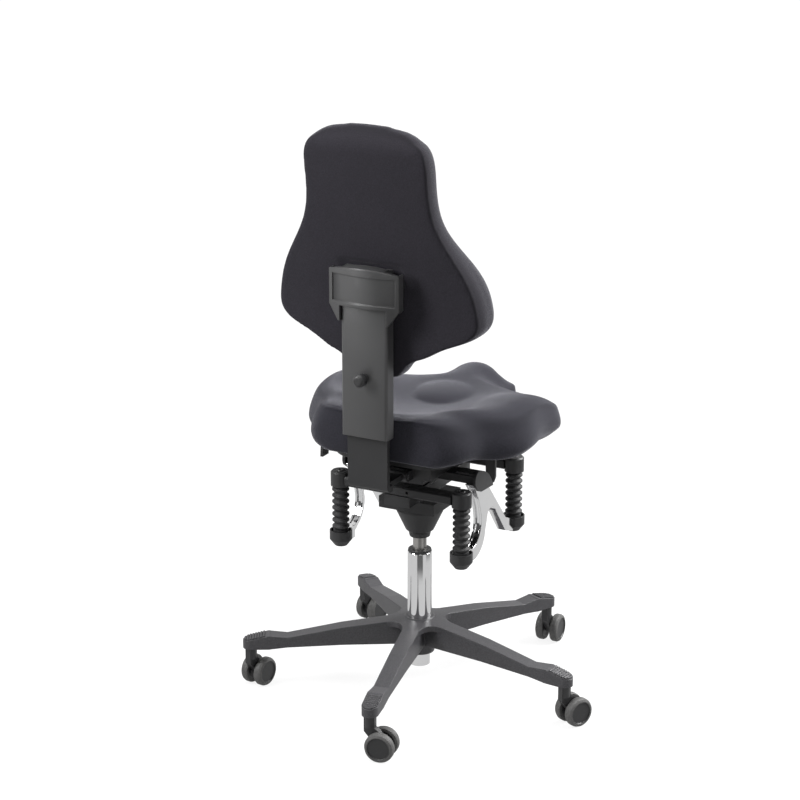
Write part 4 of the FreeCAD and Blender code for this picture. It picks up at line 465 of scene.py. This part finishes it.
def tuckLobes(mesh, points):  # the border is drawn up under the side lobes
    x, y, z = points.T
    low = step(z, *seatLook["tuckDown"])
    wide = step(np.abs(x), *seatLook["tuckOut"])
    along = step(y, *seatLook["tuckFront"]) * step(y, *seatLook["tuckRear"])
    lifted = points.copy()
    lifted[:, 2] += seatLook["tuck"] * low * wide * along
    return spread(mesh, lifted, 1)


seatLook = {"name": "seatCover", "shape": tuckLobes, "voxel": 0.005, "smooth": 2, "shrink": 0.002,
            "pressure": 4.0, "stretch": 12.0, "bend": 0.6, "cap": 0.006, "ridge": 0.0025, "fill": 0.8,
            "tuck": 0.016, "tuckDown": (0.572, 0.528), "tuckOut": (0.125, 0.185), "tuckFront": (-0.20, -0.13),
            "tuckRear": (0.10, 0.0), "seamTilt": 0.62, "seamWidth": 0.16, "seamAbove": 0.575,
            "glueTilt": 0.80, "glueBlend": 0.12, "glueHold": 0.97, "underside": 0.552}


def seatSeam(points, normals):  # where the top panel turns over into the border
    return bell(normals[:, 2], seatLook["seamTilt"], seatLook["seamWidth"]) * (
        points[:, 2] > seatLook["seamAbove"])


def seatHeld(points, normals):  # glued down in the hollow and stapled under the pan
    glued = np.clip((normals[:, 2] - seatLook["glueTilt"]) / seatLook["glueBlend"], 0.0, 1.0)
    return np.maximum(glued * seatLook["glueHold"], (points[:, 2] < seatLook["underside"]) * 1.0)


upholster("seat_cushion", "seat", "seat_fabric", seatLook, seatSeam, seatHeld)


def easeTop(mesh, points):  # the top rolls over towards the sitter and stands higher in the middle
    share = step(points[:, 2], backLook["easeFrom"], backLook["easeFull"])[:, None]
    rolled = points + (spread(mesh, points, backLook["easeRounds"]) - points) * share
    x, y, z = rolled.copy().T
    below = z - z.max() + backLook["roll"]
    rise = np.clip(below / backLook["roll"], 0.0, 1.0) ** 2
    middle = y[below > 0.0].mean()
    behind = step(y, middle - backLook["rollBlend"], middle + backLook["rollBlend"])
    rolled[:, 1] -= backLook["rollDepth"] * rise * behind
    rolled[:, 2] += backLook["arch"] * rise * (1.0 - (x / backLook["archHalf"]) ** 2)
    return spread(mesh, rolled, 2)


backLook = {"name": "backCover", "shape": easeTop, "voxel": 0.0044, "smooth": 2, "shrink": 0.002,
            "pressure": 4.0, "stretch": 12.0, "bend": 0.6, "cap": 0.005, "ridge": 0.0012, "fill": 0.8,
            "easeFrom": 1.183, "easeFull": 1.195, "easeRounds": 16, "roll": 0.050, "rollDepth": 0.020,
            "rollBlend": 0.025, "arch": 0.0050, "archHalf": 0.084, "seamTilt": 0.66, "seamWidth": 0.15,
            "panelTilt": 0.75, "panelBlend": 0.15, "panelHold": 0.93,
            "foamOverlap": 0.004, "foamBehind": 0.0005, "lipHeight": 0.032, "lipDepth": 0.007}


def backSeam(points, normals):  # panel edge, behind and in front
    return bell(np.abs(normals[:, 1]), backLook["seamTilt"], backLook["seamWidth"])


def backHeld(points, normals):  # rear panel drawn tight on its shell
    flat = np.clip((normals[:, 1] - backLook["panelTilt"]) / backLook["panelBlend"], 0.0, 1.0)
    return flat * backLook["panelHold"]


coreLow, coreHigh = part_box("backrest_core")
overlap = Vector([backLook["foamOverlap"]] * 3)
foamLow, foamHigh = coreLow - overlap, coreHigh + overlap
filling = (foamLow, Vector((foamHigh.x, coreHigh.y - backLook["foamBehind"], foamHigh.z)))
lip = (Vector((foamLow.x, foamLow.y, foamHigh.z - backLook["lipHeight"])),
       Vector((foamHigh.x, coreHigh.y + backLook["lipDepth"], foamHigh.z)))
backCover = upholster("backrest_cushion", "backrest", "back_fabric", backLook, backSeam, backHeld, [filling, lip])
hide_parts("backrest_core")


# studio

studio = {"lens": 106.70, "eye": (-2.07120, 3.99620, 2.06979), "azimuth": 207.91, "elevation": 17.858,
          "ambient": 0.15, "mirrorBehind": 0.80, "mirrorBefore": 0.08, "floorMirror": 0.66, "floorSeen": 0.93,
          "floorBounce": 0.45, "floorShadow": 0.18, "whiteFrom": 0.9, "whiteTo": 2.2, "white": 1.05,
          "sweepEdge": 0.08, "darkWays": ((0.04, 1.0, 0.61, 0.13), (1.0, 0.04, 0.72, 0.05))}


def sideways(right, toward, height):  # a place given as the camera sees the chair
    turn = math.radians(studio["azimuth"])
    return Vector((math.cos(turn) * right + math.sin(turn) * toward,
                   math.sin(turn) * right - math.cos(turn) * toward, height))


def addCamera():
    a, e = math.radians(studio["azimuth"]), math.radians(studio["elevation"])
    back = Vector((math.sin(a) * math.cos(e), -math.cos(a) * math.cos(e), math.sin(e)))
    camera = bpy.data.objects.new("camera", bpy.data.cameras.new("camera"))
    camera.data.lens, camera.data.sensor_width = studio["lens"], 36.0
    camera.location = studio["eye"]
    camera.rotation_mode = "QUATERNION"
    camera.rotation_quaternion = (-back).to_track_quat("-Z", "Y")
    camera.data.clip_end = 100.0
    scene.collection.objects.link(camera)
    scene.camera = camera


def addSoftbox(name, place, size, power, aim=(0.0, 0.0, 0.65)):
    lamp = bpy.data.lights.new(name, "AREA")
    lamp.shape, lamp.size, lamp.size_y = "RECTANGLE", size[0], size[1]
    lamp.energy = power
    box = bpy.data.objects.new(name, lamp)
    box.location = place
    box.rotation_mode = "QUATERNION"
    box.rotation_quaternion = (Vector(aim) - place).to_track_quat("-Z", "Y")
    scene.collection.objects.link(box)


def addWorld():
    world = bpy.data.worlds.new("studio")
    scene.world = world
    paint = Paint(world)
    seen, mirrored, through = [paint.node("ShaderNodeLightPath", out=k) for k in (0, 3, 6)]
    heading = paint.node("ShaderNodeTexCoord", out=0)
    ahead = paint.node("ShaderNodeVectorMath", {"operation": "DOT_PRODUCT"},
                       {0: heading, 1: sideways(0.0, 1.0, 0.0)}, 1)
    room = paint.ramp(ahead * 0.5 + 0.5, [(0.30, studio["mirrorBehind"]), (0.62, studio["mirrorBefore"])])
    unseen = 1.0 - seen - mirrored - through
    strength = (seen + through) * studio["white"] + mirrored * room + unseen * studio["ambient"]
    light = paint.node("ShaderNodeBackground", {}, {"Color": shade(1.0, 1.0, 1.0), "Strength": strength})
    paint.node("ShaderNodeOutputWorld", {}, {"Surface": light})


def addFloor():
    mesh = bpy.data.meshes.new("floor")
    mesh.from_pydata([(-9, -9, 0), (9, -9, 0), (9, 9, 0), (-9, 9, 0)], [], [(0, 1, 2, 3)])
    floor = bpy.data.objects.new("floor", mesh)
    scene.collection.objects.link(floor)
    paint = newPaint("floor")
    reach = paint.node("ShaderNodeVectorMath", {"operation": "LENGTH"}, {0: paint.place()}, 1)
    far = paint.ramp((reach - studio["whiteFrom"]) / (studio["whiteTo"] - studio["whiteFrom"]),
                     [(0.0, 0.0), (1.0, 1.0)])
    seen, mirrored, through = [paint.node("ShaderNodeLightPath", out=k) for k in (0, 3, 6)]
    heading = paint.node("ShaderNodeVectorMath", {"operation": "NORMALIZE"}, {0: paint.place()})
    bright = studio["floorMirror"]
    for right, toward, sweepEnd, dim in studio["darkWays"]:  # dark room past the sweep, striped on the chrome
        way = sideways(right, toward, 0.0)
        facing = paint.node("ShaderNodeVectorMath", {"operation": "DOT_PRODUCT"}, {0: heading, 1: way}, 1)
        beyond = paint.ramp((reach - sweepEnd) / studio["sweepEdge"], [(0.0, 0.0), (1.0, 1.0)])
        bright = bright - paint.ramp(facing, [(0.88, 0.0), (0.91, 1.0)]) * beyond * (studio["floorMirror"] - dim)
    cover = seen * (1.0 - (1.0 - far) * studio["floorShadow"]) + through + mirrored
    pale = paint.mixed(seen, shade(*[studio["floorBounce"]] * 3), shade(*[studio["floorSeen"]] * 3))
    matt = paint.node("ShaderNodeBsdfPrincipled", {},
                      {"Base Color": pale, "Roughness": 0.9, "Specular IOR Level": 0.1})
    strength = studio["white"] - mirrored * (studio["white"] - bright)
    glow = paint.node("ShaderNodeEmission", {}, {"Color": shade(1.0, 1.0, 1.0), "Strength": strength})
    both = paint.node("ShaderNodeMixShader", {}, {0: cover, 1: matt, 2: glow})
    paint.node("ShaderNodeOutputMaterial", {}, {"Surface": both})
    wearFinish(floor, paint.owner)


addCamera()
addWorld()
addFloor()
addSoftbox("topBox", sideways(0.0, 0.15, 3.0), (2.4, 2.0), 74.0)
addSoftbox("fillBox", sideways(0.6, 3.2, 1.6), (2.0, 2.0), 17.0)
addSoftbox("leftBox", sideways(-1.7, 0.75, 1.75), (0.7, 1.3), 50.0, (0.0, 0.0, 0.95))
addSoftbox("rightBox", sideways(2.2, -0.5, 1.8), (1.6, 1.4), 130.0)
print("camera, floor and softboxes set")
